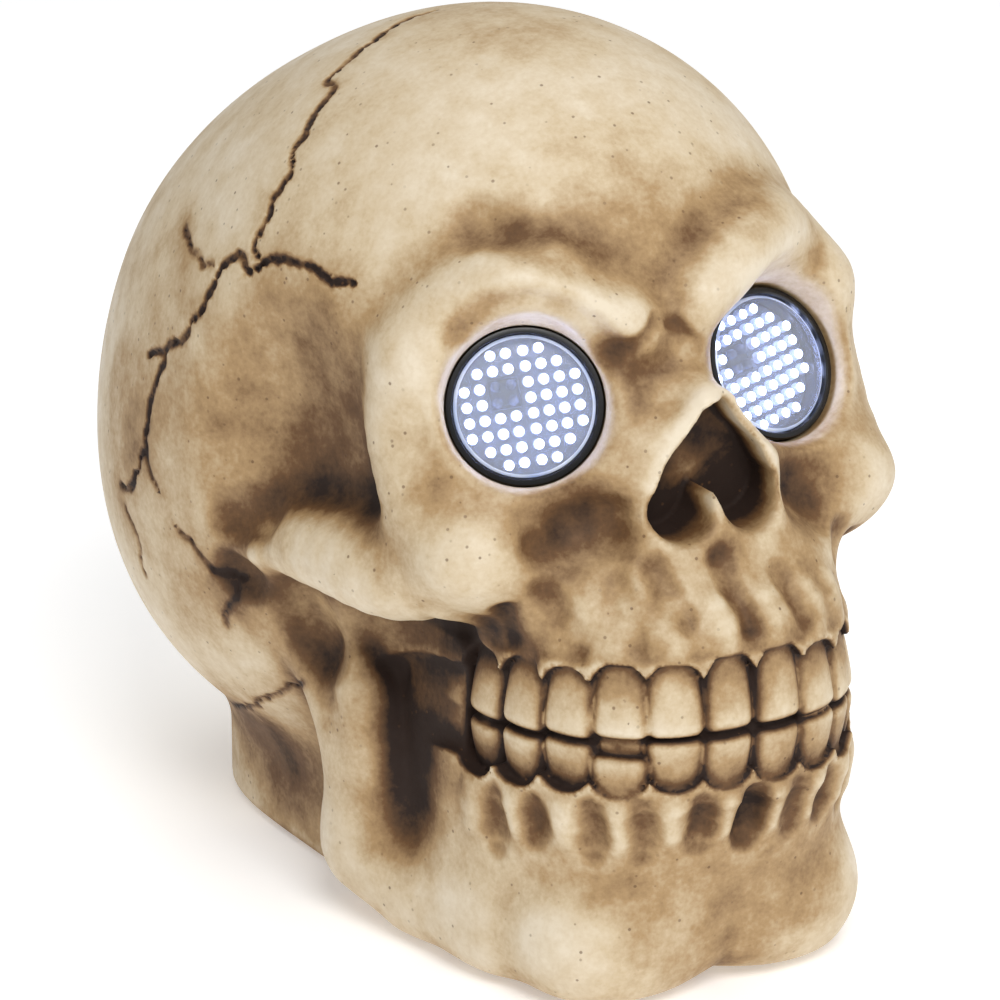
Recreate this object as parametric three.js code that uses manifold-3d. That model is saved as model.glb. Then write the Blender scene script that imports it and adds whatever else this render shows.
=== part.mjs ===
// Life-size cast skull with two lamps in its eye sockets and a battery base in its neck.
// Millimetres, +Z up. The face looks along -Y and the skull's own right side is -X.
import * as THREE from 'three';
import { mergeVertices } from 'three/addons/utils/BufferGeometryUtils.js';
import Module from 'manifold-3d';

// Lamps: 3 mm light-emitting diodes on a square grid, which sets the lens and its housing
const LED_PITCH = 4.0;
const LED_SPLIT = 0.4;
const LED_DIAMETER = 3.2;
const LED_TIP_DIAMETER = 1.8;
const LED_HEIGHT = 3.6;
const LED_ROWS = [4, 6, 8, 8, 8, 8, 6, 4];
const LED_TILT = 9;
const LED_BOARD_THICKNESS = 1.6;
const LED_FILM_THICKNESS = 0.6;
const LED_LENS_GAP = 1;
const LENS_MARGIN = 1.2;
const LENS_THICKNESS = 2.6;
const LENS_CROWN = 0.8;
const LENS_BEVEL = 0.8;
const LENS_SEAT = 0.6;
const BOARD_SEAT = 2;
const HOUSING_WALL = 1.8;
const HOUSING_LIP = 0.9;
const HOUSING_DEPTH = 19;
const HOUSING_FLOOR = 2;
const EYE_RIGHT = { centre: [-36.3, -55, 148], yaw: -28, pitch: 20, rimWidth: 7.6, rimShift: -2 };
const EYE_LEFT = { centre: [36.3, -50.5, 144.5], yaw: 10, pitch: 26, rimWidth: 5.6, rimShift: 4 };
const SOCKET_FLARE = 3.2;
const SOCKET_FLARE_START = 2;
const SOCKET_FLARE_RUN = 12;
const SOCKET_FLARE_LIMIT = 1.2;
const LEFT_SOCKET_LEAN = -0.78;
const SOCKET_DEPTH = 10;
const SOCKET_REACH = 14;

// Casting
const WALL = 7;
const FOOT_HEIGHT = 1.5;
const FOOT_DIAMETER = 9;
const TRIM_DEPTH = 5;
const HOLLOW_FRONT = -62;
const GRID_MARGIN = 10;
const FACE_CELL = 7.2;
const JAW_CELL = 8.4;
const CROWN_CELL = 14;
const HOLLOW_CELL = 16;
const CRANIUM_HALF_WIDTH = 80;
const CRANIUM_HALF_LENGTH = 96;
const CRANIUM_HALF_HEIGHT = 82;
const CRANIUM_CENTRE_Y = 50;
const CRANIUM_CENTRE_Z = 116;
const VAULT_NARROWING = 7;
const VAULT_HALF_LENGTH = 78;
const VAULT_HALF_HEIGHT = 79;
const VAULT_CENTRE_Y = 28;
const VAULT_RISE = 17;
const FOREHEAD_NARROWING = 13;
const FOREHEAD_HALF_LENGTH = 67;
const FOREHEAD_HALF_HEIGHT = 66;
const FOREHEAD_CENTRE_Y = 2;
const FOREHEAD_RISE = 20;
const NAPE_NARROWING = 6;
const NAPE_HALF_LENGTH = 78;
const NAPE_HALF_HEIGHT = 66;
const NAPE_CENTRE_Y = 60;
const NAPE_CENTRE_Z = 82;
const FACE_HALF_WIDTH = 66;
const FACE_BACK = -28;
const FACE_BOTTOM = 86;
const FACE_TOP = 172;
const TEMPLE = { centre: [88, -12, 128], radii: [25, 30, 40] };
const BROW_RIGHT = [
  [-11.5, -63.5, 167, 6.8],
  [-20, -61, 171.5, 8.5],
  [-34, -53.5, 178, 10],
  [-46, -43, 172, 10],
  [-55, -37, 159, 9],
];
const BROW_LEFT = [
  [3, -65.5, 165.5, 4.5],
  [9, -63.5, 171.5, 6.5],
  [22, -57, 177.5, 8],
  [36, -47, 178, 9],
  [49, -36, 170, 8.5],
  [56, -37, 159, 9],
];
const CHEEK_POST = [[56, -39, 158, 9], [59.5, -37, 142, 8], [57.5, -45, 124, 11]];
const CHEEK = { centre: [47, -58, 115], radii: [20, 14, 13] };
const CHEEK_ARCH = [
  [50, -54, 110, 10],
  [60, -37, 105, 12],
  [67, -14, 104, 9.8],
  [69, 6, 100.5, 7],
  [66, 22, 96, 5],
];
const UPPER_JAW = { centre: [0, -62, 108], radii: [42, 26, 34] };
const NOSE_BRIDGE = [[0, -58, 166, 5], [0, -69, 160, 3.4], [0, -83, 151.5, 2.2]];
const NOSE_SIDE = [[3, -82, 150, 2.6], [12, -78, 139, 4.5], [17, -75, 122, 7]];
const NOSE_CORE = [[0, -54, 164, 9], [0, -64, 150, 9.5], [0, -66, 134, 12]];
const NOSE_WALL = [[-7, -62, 160, 5], [-13, -67, 144, 7], [-21, -70, 127, 8]];
const NOSE_SLOT = [[0, -90, 149, 3], [6, -86, 132, 7.5]];
const NOSE_SLOT_BACK = [[0, -78, 147, 3], [6, -74, 132, 7.5]];
const NOSE_CAVE = [[7, -90, 129, 8], [7, -60, 129, 8]];
const CANINE_HOLLOW = { centre: [36, -79, 123], radii: [14, 9.5, 9.5] };
const JAW_BODY = [
  [0, -66, 18, 14],
  [18, -70, 16, 17.5],
  [31, -50, 15, 17],
  [41, -20, 15, 15],
  [47, -4, 19, 13],
];
const CHIN_KNOB = { centre: [25, -74, 17], radii: [16, 16, 17] };
const JAW_BACK = [[48, -4, 22, 11], [54, -1, 48, 7], [61, 17, 80, 6.5]];
const JAW_FRONT = [[47, -10, 26, 10], [55, -10, 58, 6], [58, -4, 84, 4]];
const JAW_WEB = { centre: [52, -5, 44], radii: [7, 14, 30] };
const MOUTH_WALL = { centre: [0, -30, 60], radii: [41, 50, 60] };
const HOLLOW_LOW = 90;
const HOLLOW_NECK_FRONT = -22;

// Dental arch: a superellipse in plan, whose bite line falls towards the back
const ARCH_HALF_WIDTH = 49;
const ARCH_DEPTH = 67;
const ARCH_BACK = -37;
const ARCH_POWER = 2.6;
const BITE_HEIGHT = 74.2;
const BITE_FALL = 0.13;
const TOOTH_WIDTHS = [14.8, 13.8, 14, 12.8, 13.2, 14.4, 12];
const TOOTH_GAP = 0.8;
const TOOTH_THICKNESS = 9;
const UPPER_TOOTH_HEIGHT = 20;
const LOWER_TOOTH_HEIGHT = 17;
const TOOTH_BITE = 1;
const TOOTH_STAND = 2;
const TOOTH_SQUARENESS = 0.45;
const GUM_RISE = 13;
const GUM_LEAN = 0.22;
const GUM_LEAN_RUN = 40;
const GUM_PROUD = 0.8;
const GUM_DROP = 9.5;
const GUM_DROP_PROUD = 0.6;
const GUM_TOP = 112;
const GUM_SLOPE = 0.2;
const CORE_INSET = 5;
const CORE_HALF_HEIGHT = 18;
const CORE_BACK = -25;
const CHIN_LEAN_RUN = 64;
const CHIN_LEAN = 0.25;
const RIDGE_BACK = -31;
const RIDGE_FOOT = 6;

// Base in the neck: a plate on a ledge of the casting
const NECK_CENTRE_Y = 38;
const NECK_POWER = 3.5;
const NECK_TOP = 80;
const RIM_WIDTH = 7;
const LEDGE_WIDTH = 7;
const LEDGE_HEIGHT = 12;
const PLATE_THICKNESS = 3.5;
const PLATE_CORNER = 20;
const SIDE_ROOM = 8;
const FRONT_ROOM = 31;
const REAR_ROOM = 2;
const FIT = 0.3;
const FLUSH = 0.1;
const SCREW_DIAMETER = 3;
const SCREW_HEAD = 5.6;
const SCREW_HEAD_HEIGHT = 1.8;
const SCREW_LENGTH = 11;
const SCREW_SPREAD = 28;
const CHIN_PAD = [24, -66];
const PLATE_PAD_INSET = [9, 11];

// Battery bay for three AA cells side by side
const CELL_DIAMETER = 14.5;
const CELL_LENGTH = 49.2;
const CELL_NUB_DIAMETER = 5.5;
const CELL_NUB_LENGTH = 1.3;
const CELL_COUNT = 3;
const CELL_GAP = 0.7;
const CONTACT_SPACE = 3.2;
const CONTACT_THICKNESS = 0.6;
const CONTACT_WIDTH = 9;
const CONTACT_HEIGHT = 9;
const BAY_WALL = 2;
const DOOR_THICKNESS = 2;
const DOOR_TAB = [14, 9];
const DOOR_LAP = 1;
const DOOR_HINGE_GAP = 1.1;
const DOOR_SCREW_DIAMETER = 2.4;
const DOOR_SCREW_HEAD = 5;
const DOOR_SCREW_HEAD_HEIGHT = 0.8;
const DOOR_SCREW_LENGTH = 5.8;
const DOOR_BOSS_DIAMETER = 7;
const DOOR_BOSS_HEIGHT = 4;
const KNUCKLE_DIAMETER = 2.4;
const KNUCKLE_LENGTH = 8;
const KNUCKLE_SPREAD = 14;
const KNUCKLE_OFFSET = 1.4;
const KNUCKLE_ARM = 1.2;
const PIVOT_DIAMETER = 1.4;
const PIVOT_REACH = 1.5;

// Driver board and slide switch, in front of the bay
const BOARD_SIZE = [46, 16, 1.6];
const BOARD_STANDOFF = 5;
const BOARD_CLEARANCE = 1.5;
const BOARD_POST_DIAMETER = 6;
const BOARD_SCREW_INSET = 3.5;
const BOARD_SCREW_DIAMETER = 2.2;
const BOARD_SCREW_HEAD = 4;
const BOARD_SCREW_HEAD_HEIGHT = 1.4;
const CHIP_SIZE = [9, 6, 1.8];
const SWITCH_BODY = [16, 8, 6];
const SWITCH_X = 18;
const KNOB_SIZE = [3.6, 3];
const KNOB_RECESS = 0.5;
const CARRIAGE_MARGIN = 1.2;
const CARRIAGE_HEIGHT = 2.4;
const SWITCH_TRAVEL = 4;
const LEAD_DIAMETER = 2.4;
const LEAD_CLEARANCE = 0.4;
const EYE_LEAD_X = 9;
const EYE_LEAD_BENDS = [[-6, 100], [6, 50]];
const LEAD_RISE = 5;
const LEAD_LANDING = 4;

// Sizes that follow from the ones above
const craniumTop = CRANIUM_CENTRE_Z + CRANIUM_HALF_HEIGHT;
const braincase = [
  {
    centre: [0, CRANIUM_CENTRE_Y, CRANIUM_CENTRE_Z],
    radii: [CRANIUM_HALF_WIDTH, CRANIUM_HALF_LENGTH, CRANIUM_HALF_HEIGHT],
  },
  {
    centre: [0, VAULT_CENTRE_Y, craniumTop + VAULT_RISE - VAULT_HALF_HEIGHT],
    radii: [CRANIUM_HALF_WIDTH - VAULT_NARROWING, VAULT_HALF_LENGTH, VAULT_HALF_HEIGHT],
  },
  {
    centre: [0, FOREHEAD_CENTRE_Y, craniumTop + FOREHEAD_RISE - FOREHEAD_HALF_HEIGHT],
    radii: [CRANIUM_HALF_WIDTH - FOREHEAD_NARROWING, FOREHEAD_HALF_LENGTH, FOREHEAD_HALF_HEIGHT],
  },
  {
    centre: [0, NAPE_CENTRE_Y, NAPE_CENTRE_Z],
    radii: [CRANIUM_HALF_WIDTH - NAPE_NARROWING, NAPE_HALF_LENGTH, NAPE_HALF_HEIGHT],
  },
];
const sideLimit = CRANIUM_HALF_WIDTH + GRID_MARGIN;
const frontLimit = ARCH_BACK - ARCH_DEPTH - GRID_MARGIN - TOOTH_STAND;
const rearLimit = CRANIUM_CENTRE_Y + CRANIUM_HALF_LENGTH + GRID_MARGIN;
const topLimit = craniumTop + FOREHEAD_RISE + GRID_MARGIN;
const lensRadius = LED_ROWS.length / 2 * LED_PITCH + LED_SPLIT / 2 + LENS_MARGIN + LENS_SEAT;
const housingRadius = lensRadius + FIT + HOUSING_WALL;
const boreRadius = housingRadius + FIT;
const leadHole = LEAD_DIAMETER + 2 * LEAD_CLEARANCE;
const cellPitch = CELL_DIAMETER + CELL_GAP;
const bayX = CELL_COUNT * cellPitch + CELL_GAP;
const bayY = CELL_LENGTH + CELL_NUB_LENGTH + 2 * CONTACT_SPACE;
const mouthHalfX = bayX / 2 + BAY_WALL + SIDE_ROOM;
const mouthHalfY = (FRONT_ROOM + bayY + 2 * BAY_WALL + REAR_ROOM) / 2;
const plateHalfX = mouthHalfX + LEDGE_WIDTH;
const plateHalfY = mouthHalfY + LEDGE_WIDTH;
const neckHalfX = plateHalfX + RIM_WIDTH;
const neckHalfY = plateHalfY + RIM_WIDTH + REAR_ROOM;
const plateTop = FOOT_HEIGHT + PLATE_THICKNESS;
const bayRear = NECK_CENTRE_Y + mouthHalfY - REAR_ROOM - BAY_WALL;
const bayFront = bayRear - bayY;
const bayMiddle = (bayFront + bayRear) / 2;
const doorTop = FOOT_HEIGHT + DOOR_THICKNESS;
const cellAxis = doorTop + FIT + CELL_DIAMETER / 2;
const bayTop = cellAxis + CELL_DIAMETER / 2 + CELL_GAP;
const boardY = bayFront - BAY_WALL - BOARD_CLEARANCE - BOARD_SIZE[1] / 2;
const boardBottom = plateTop + BOARD_STANDOFF + FIT;
const boardTop = boardBottom + BOARD_SIZE[2];
const boardScrewX = BOARD_SIZE[0] / 2 - BOARD_SCREW_INSET;
const switchY = NECK_CENTRE_Y - mouthHalfY + BOARD_CLEARANCE + SWITCH_BODY[1] / 2;
const switchBase = plateTop + FIT;
const knuckleY = bayRear + KNUCKLE_OFFSET;
const knuckleZ = FOOT_HEIGHT + PLATE_THICKNESS / 2;
const doorScrewY = bayFront - DOOR_TAB[1] / 2;
const carriage = KNOB_SIZE.map((size) => size + 2 * CARRIAGE_MARGIN);
const leadCell = cellPitch * (CELL_COUNT - 1) / 2;
const frontLeadZ = cellAxis + CONTACT_HEIGHT / 2 - LEAD_DIAMETER / 4;
const rearLeadY = bayRear - LEAD_DIAMETER;

const wasm = await Module();
wasm.setup();

// Colours of each material
const paint = {
  resin: new THREE.MeshStandardMaterial({ color: 0xcdb48c, roughness: 0.62 }),
  blackPlastic: new THREE.MeshStandardMaterial({ color: 0x101114, roughness: 0.4 }),
  clearPlastic: new THREE.MeshStandardMaterial({ color: 0xeaf2ff, roughness: 0.06 }),
  circuitBoard: new THREE.MeshStandardMaterial({ color: 0x55617a, roughness: 0.5 }),
  litDiode: new THREE.MeshStandardMaterial({ color: 0xffffff, roughness: 0.2, emissive: 0xdce8ff }),
  darkDiode: new THREE.MeshStandardMaterial({ color: 0x3a4254, roughness: 0.2 }),
  basePlastic: new THREE.MeshStandardMaterial({ color: 0x17181a, roughness: 0.5 }),
  rubber: new THREE.MeshStandardMaterial({ color: 0x0c0c0c, roughness: 0.85 }),
  steel: new THREE.MeshStandardMaterial({ color: 0xb9bcc0, roughness: 0.3, metalness: 1 }),
  cellWrap: new THREE.MeshStandardMaterial({ color: 0x2f3b46, roughness: 0.35, metalness: 0.4 }),
  wire: new THREE.MeshStandardMaterial({ color: 0x7a1414, roughness: 0.5 }),
};

// Solids
function toSolid(geometry) {
  const bare = geometry.index ? geometry.clone() : geometry;
  bare.deleteAttribute('normal');
  bare.deleteAttribute('uv');
  const merged = mergeVertices(bare, 1e-4);
  const corners = merged.index.array;
  const triangles = [];
  for (let i = 0; i < corners.length; i += 3) {
    const [a, b, c] = corners.slice(i, i + 3);
    if (a !== b && b !== c && c !== a) triangles.push(a, b, c);
  }
  return new wasm.Manifold(new wasm.Mesh({
    numProp: 3,
    vertProperties: new Float32Array(merged.attributes.position.array),
    triVerts: new Uint32Array(triangles),
  }));
}

function toGeometry(solid) {
  const mesh = solid.getMesh();
  const geometry = new THREE.BufferGeometry();
  const positions = new Float32Array(mesh.numVert * 3);
  for (let i = 0; i < mesh.numVert; i += 1) {
    for (let k = 0; k < 3; k += 1) positions[3 * i + k] = mesh.vertProperties[mesh.numProp * i + k];
  }
  geometry.setAttribute('position', new THREE.BufferAttribute(positions, 3));
  geometry.setIndex(new THREE.BufferAttribute(new Uint32Array(mesh.triVerts), 1));
  geometry.computeVertexNormals();
  return geometry;
}

function block(sizeX, sizeY, sizeZ, x, y, z) {
  return new THREE.BoxGeometry(sizeX, sizeY, sizeZ).translate(x, y, z);
}

// A block whose lowest face is at z
function blockOn(sizeX, sizeY, sizeZ, x, y, z) {
  return block(sizeX, sizeY, sizeZ, x, y, z + sizeZ / 2);
}

// An upright cylinder whose lowest face is at z
function rodOn(diameter, height, x, y, z, sides = 16) {
  const rod = new THREE.CylinderGeometry(diameter / 2, diameter / 2, height, sides);
  return rod.rotateX(Math.PI / 2).translate(x, y, z + height / 2);
}

function plateShape(halfX, halfY, corner) {
  const shape = new THREE.Shape();
  shape.moveTo(-halfX + corner, -halfY);
  shape.lineTo(halfX - corner, -halfY);
  shape.absarc(halfX - corner, -halfY + corner, corner, -Math.PI / 2, 0, false);
  shape.lineTo(halfX, halfY - corner);
  shape.absarc(halfX - corner, halfY - corner, corner, 0, Math.PI / 2, false);
  shape.lineTo(-halfX + corner, halfY);
  shape.absarc(-halfX + corner, halfY - corner, corner, Math.PI / 2, Math.PI, false);
  shape.lineTo(-halfX, -halfY + corner);
  shape.absarc(-halfX + corner, -halfY + corner, corner, Math.PI, 1.5 * Math.PI, false);
  return shape;
}

function slab(halfX, halfY, corner, thickness, y, z) {
  const options = { depth: thickness, bevelEnabled: false, curveSegments: 6 };
  return new THREE.ExtrudeGeometry(plateShape(halfX, halfY, corner), options).translate(0, y, z);
}

function joined(geometries) {
  return geometries.map(toSolid).reduce((whole, solid) => whole.add(solid));
}

function cutBy(solid, geometries) {
  return geometries.map(toSolid).reduce((rest, tool) => rest.subtract(tool), solid);
}

// Distance fields of the skull's form
function blend(a, b, reach) {
  const h = Math.max(reach - Math.abs(a - b), 0) / reach;
  return Math.min(a, b) - 0.25 * h * h * reach;
}

function carve(a, b, reach) {
  return -blend(-a, b, reach);
}

function ellipsoid([x, y, z], { centre, radii }) {
  const q = [x - centre[0], y - centre[1], z - centre[2]];
  const near = Math.hypot(q[0] / radii[0], q[1] / radii[1], q[2] / radii[2]);
  const slope = Math.hypot(q[0] / radii[0] ** 2, q[1] / radii[1] ** 2, q[2] / radii[2] ** 2);
  return near * (near - 1) / (slope + 1e-9);
}

// A limb of round section through points with a radius each
function limb([x, y, z], points, reach) {
  let distance = Infinity;
  for (let i = 1; i < points.length; i += 1) {
    const [ax, ay, az, ar] = points[i - 1];
    const [bx, by, bz, br] = points[i];
    const span = [bx - ax, by - ay, bz - az];
    const along = (x - ax) * span[0] + (y - ay) * span[1] + (z - az) * span[2];
    const t = Math.min(Math.max(along / (span[0] ** 2 + span[1] ** 2 + span[2] ** 2), 0), 1);
    const gap = Math.hypot(x - ax - t * span[0], y - ay - t * span[1], z - az - t * span[2]);
    const piece = gap - ar - t * (br - ar);
    distance = i === 1 ? piece : blend(distance, piece, reach);
  }
  return distance;
}

function superellipse(u, v, a, b, power) {
  const size = (Math.abs(u) / a) ** power + (Math.abs(v) / b) ** power;
  return (size ** (1 / power) - 1) * Math.min(a, b);
}

// A lamp's own frame: u across, v up, w out along the way that it faces
function lampMatrix({ centre, yaw, pitch }) {
  const turn = THREE.MathUtils.degToRad(yaw);
  const lift = THREE.MathUtils.degToRad(pitch);
  const out = new THREE.Vector3(
    Math.sin(turn) * Math.cos(lift), -Math.cos(turn) * Math.cos(lift), Math.sin(lift));
  const across = new THREE.Vector3(Math.cos(turn), Math.sin(turn), 0);
  const up = new THREE.Vector3().crossVectors(out, across);
  return new THREE.Matrix4().makeBasis(across, up, out).setPosition(...centre);
}

const eyes = [EYE_RIGHT, EYE_LEFT].map((eye) => {
  const matrix = lampMatrix(eye);
  return { ...eye, matrix, inverse: matrix.clone().invert() };
});

function inLamp(eye, [x, y, z]) {
  const local = new THREE.Vector3(x, y, z).applyMatrix4(eye.inverse);
  return [local.x, local.y, local.z];
}

function socketField([u, v, w]) {
  const flare = Math.min(Math.max((w - SOCKET_FLARE_START) / SOCKET_FLARE_RUN, 0), SOCKET_FLARE_LIMIT);
  const side = Math.hypot(u, v) - boreRadius - flare * SOCKET_FLARE;
  return Math.max(side, -(w + SOCKET_DEPTH));
}

function biteLine(y) {
  return BITE_HEIGHT - BITE_FALL * (y - ARCH_BACK + ARCH_DEPTH);
}

function archField(x, y, inset) {
  return superellipse(x, y - ARCH_BACK, ARCH_HALF_WIDTH - inset, ARCH_DEPTH - inset, ARCH_POWER);
}

function faceField(point, mirrored) {
  const [x, y, z] = mirrored;
  let field = braincase.map((form) => ellipsoid(mirrored, form)).reduce((a, b) => blend(a, b, 26));
  field = carve(field, ellipsoid(mirrored, TEMPLE), 16);
  for (const eye of eyes) {
    const rimRadius = boreRadius + eye.rimWidth;
    const rim = {
      centre: [eye.rimShift, 0, -3],
      radii: [rimRadius - Math.abs(eye.rimShift), rimRadius, 14],
    };
    field = blend(field, ellipsoid(inLamp(eye, point), rim), 9);
  }
  field = blend(field, limb(mirrored, CHEEK_POST, 1), 9);
  field = blend(field, ellipsoid(mirrored, CHEEK), 10);
  field = blend(field, limb(mirrored, CHEEK_ARCH, 1), 9);
  field = blend(field, ellipsoid(mirrored, UPPER_JAW), 14);
  const gumInset = GUM_LEAN * Math.min(Math.max(z - biteLine(y), 0), GUM_LEAN_RUN) - GUM_PROUD;
  const gum = Math.max(archField(x, y, gumInset), biteLine(y) + GUM_RISE - z);
  const gumTop = z - GUM_TOP - GUM_SLOPE * (y - ARCH_BACK + ARCH_DEPTH);
  field = blend(field, carve(gum, -gumTop, 20), 8);
  field = blend(field, limb(mirrored, NOSE_BRIDGE, 1), 7);
  field = blend(field, limb(mirrored, NOSE_SIDE, 1), 7);
  field = blend(field, limb(mirrored, NOSE_CORE, 1), 8);
  field = blend(field, limb(point, NOSE_WALL, 1), 8);
  field = carve(field, ellipsoid(mirrored, CANINE_HOLLOW), 9);
  const [u, v, w] = inLamp(eyes[1], point);
  const leaning = Math.hypot(u - LEFT_SOCKET_LEAN * w, v) - housingRadius;
  field = carve(field, Math.max(leaning, HOUSING_LIP - w), 4);
  field = blend(field, limb(point, BROW_RIGHT, 1), 8);
  return blend(field, limb(point, BROW_LEFT, 1), 8);
}

// The skull with its sockets and nose opened
function openField(point) {
  const mirrored = [Math.abs(point[0]), point[1], point[2]];
  let field = skullField(point);
  for (const eye of eyes) field = carve(field, socketField(inLamp(eye, point)), 1);
  const slot = blend(limb(mirrored, NOSE_SLOT, 1), limb(mirrored, NOSE_SLOT_BACK, 1), 6);
  return carve(field, blend(slot, limb(mirrored, NOSE_CAVE, 1), 6), 1);
}

function jawField(mirrored) {
  const [x, y, z] = mirrored;
  const lean = Math.min(Math.max(biteLine(y) - z, 0), CHIN_LEAN_RUN) * CHIN_LEAN;
  let ridge = Math.max(archField(x, y - lean, -GUM_DROP_PROUD), z - biteLine(y) + GUM_DROP);
  ridge = carve(ridge, RIDGE_BACK - y, 14);
  ridge = carve(ridge, z - RIDGE_FOOT, 8);
  let field = blend(limb(mirrored, JAW_BODY, 8), ridge, 12);
  field = blend(field, ellipsoid(mirrored, CHIN_KNOB), 8);
  let branch = blend(limb(mirrored, JAW_BACK, 1), limb(mirrored, JAW_FRONT, 1), 6);
  branch = blend(branch, ellipsoid(mirrored, JAW_WEB), 8);
  return blend(field, branch, 10);
}

function skullField(point) {
  const [px, y, z] = point;
  const x = Math.abs(px);
  const mirrored = [x, y, z];
  let field = faceField(point, mirrored);
  const biteBand = Math.abs(z - biteLine(y)) - CORE_HALF_HEIGHT;
  const toothCore = Math.max(archField(x, y, CORE_INSET), biteBand, y - CORE_BACK);
  field = blend(field, toothCore, 3);
  field = blend(field, jawField(mirrored), 5);
  field = blend(field, ellipsoid(mirrored, MOUTH_WALL), 6);
  const column = superellipse(x, y - NECK_CENTRE_Y, neckHalfX, neckHalfY, NECK_POWER);
  field = blend(field, carve(column, -(z - NECK_TOP), 20), 10);
  return Math.max(field, FOOT_HEIGHT - TRIM_DEPTH - z);
}

// The hollow follows the outside at one wall's depth, behind the jaw and above the neck's floor
function hollowField(point) {
  const [, y, z] = point;
  const region = Math.min(HOLLOW_LOW - z, HOLLOW_NECK_FRONT - y);
  const floor = plateTop + LEDGE_HEIGHT - z;
  return Math.max(openField(point) + WALL, region, HOLLOW_FRONT - y, floor);
}

// Grid lines through the stops, each stretch between two of them cut into cells of about its own size
function gridLines(stops, cells) {
  const lines = [];
  cells.forEach((cell, i) => {
    const [from, to] = [stops[i], stops[i + 1]];
    const count = Math.max(1, Math.round((to - from) / cell));
    for (let k = 0; k < count; k += 1) lines.push(from + (to - from) * k / count);
  });
  lines.push(stops[stops.length - 1]);
  return lines;
}

const CORNERS = [0, 1, 2, 3, 4, 5, 6, 7].map((i) => [i & 1, (i >> 1) & 1, (i >> 2) & 1]);
const EDGES = [1, 2, 4].flatMap((bit) => (
  [0, 1, 2, 3, 4, 5, 6, 7].filter((corner) => !(corner & bit)).map((corner) => [corner, corner | bit])));
const FACES = [[0, 1, 3, 2], [4, 5, 7, 6], [0, 1, 5, 4], [2, 3, 7, 6], [0, 2, 6, 4], [1, 3, 7, 5]];

function edgeBetween(a, b) {
  return EDGES.findIndex((edge) => edge.includes(a) && edge.includes(b));
}

function cornerOf([a, b, c]) {
  return a + 2 * b + 4 * c;
}

// The crossed edges of one cell, grouped into the sheets of surface that pass through it
function cellSheets(inside) {
  const owner = EDGES.map((edge, i) => (inside[edge[0]] !== inside[edge[1]] ? i : -1));
  const link = (a, b) => {
    const [from, to] = [owner[a], owner[b]];
    owner.forEach((value, i) => { if (value === from) owner[i] = to; });
  };
  for (const face of FACES) {
    const crossed = face.map((corner, i) => [corner, face[(i + 1) % 4]])
      .filter(([a, b]) => inside[a] !== inside[b]);
    if (crossed.length === 2) link(edgeBetween(...crossed[0]), edgeBetween(...crossed[1]));
    if (crossed.length === 4) {
      face.forEach((corner, i) => {
        if (!inside[corner]) return;
        link(edgeBetween(corner, face[(i + 1) % 4]), edgeBetween(corner, face[(i + 3) % 4]));
      });
    }
  }
  return owner;
}

// A closed surface through the zero of a field, one vertex for each sheet in each cell
function surfaceOf(field, xs, ys, zs) {
  const [nx, ny, nz] = [xs.length, ys.length, zs.length];
  const node = (i, j, k) => i + nx * (j + ny * k);
  const values = new Float64Array(nx * ny * nz);
  zs.forEach((z, k) => ys.forEach((y, j) => xs.forEach((x, i) => {
    values[node(i, j, k)] = field([x, y, z]);
  })));
  const positions = [];
  const sheetVertex = new Map();
  for (let k = 0; k < nz - 1; k += 1) {
    for (let j = 0; j < ny - 1; j += 1) {
      for (let i = 0; i < nx - 1; i += 1) {
        const at = CORNERS.map(([a, b, c]) => values[node(i + a, j + b, k + c)]);
        const inside = at.map((value) => value < 0);
        if (inside.every((value) => value === inside[0])) continue;
        const owner = cellSheets(inside);
        const sums = new Map();
        owner.forEach((sheet, e) => {
          if (sheet < 0) return;
          const [a, b] = EDGES[e];
          const t = at[a] / (at[a] - at[b]);
          const sum = sums.get(sheet) ?? [0, 0, 0, 0];
          const mix = (axis, low, lines) => {
            const [from, to] = [lines[low + CORNERS[a][axis]], lines[low + CORNERS[b][axis]]];
            return from + t * (to - from);
          };
          const point = [mix(0, i, xs), mix(1, j, ys), mix(2, k, zs), 1];
          sums.set(sheet, sum.map((value, axis) => value + point[axis]));
        });
        const ids = new Map();
        sums.forEach((sum, sheet) => {
          ids.set(sheet, positions.length / 3);
          positions.push(sum[0] / sum[3], sum[1] / sum[3], sum[2] / sum[3]);
        });
        sheetVertex.set(node(i, j, k), owner.map((sheet) => ids.get(sheet)));
      }
    }
  }
  const triangles = [];
  const step = [[1, 0, 0], [0, 1, 0], [0, 0, 1]];
  for (let k = 0; k < nz - 1; k += 1) {
    for (let j = 0; j < ny - 1; j += 1) {
      for (let i = 0; i < nx - 1; i += 1) {
        for (let axis = 0; axis < 3; axis += 1) {
          const low = values[node(i, j, k)] < 0;
          const high = values[node(i + step[axis][0], j + step[axis][1], k + step[axis][2])] < 0;
          if (low === high) continue;
          const side = step[(axis + 1) % 3];
          const rise = step[(axis + 2) % 3];
          const ring = [[0, 0], [1, 0], [1, 1], [0, 1]].map(([s, r]) => {
            const cell = [0, 1, 2].map((n) => [i, j, k][n] - s * side[n] - r * rise[n]);
            const corner = s * cornerOf(side) + r * cornerOf(rise);
            const far = corner + cornerOf(step[axis]);
            return sheetVertex.get(node(...cell))[edgeBetween(corner, far)];
          });
          const [a, b, c, d] = low ? ring : ring.reverse();
          triangles.push(a, b, c, a, c, d);
        }
      }
    }
  }
  const geometry = new THREE.BufferGeometry();
  geometry.setAttribute('position', new THREE.BufferAttribute(new Float32Array(positions), 3));
  geometry.setIndex(triangles);
  return geometry;
}

// The largest of several solids that came out of one cut
function largest(solid) {
  return solid.decompose().reduce((best, piece) => (piece.volume() > best.volume() ? piece : best));
}

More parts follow.
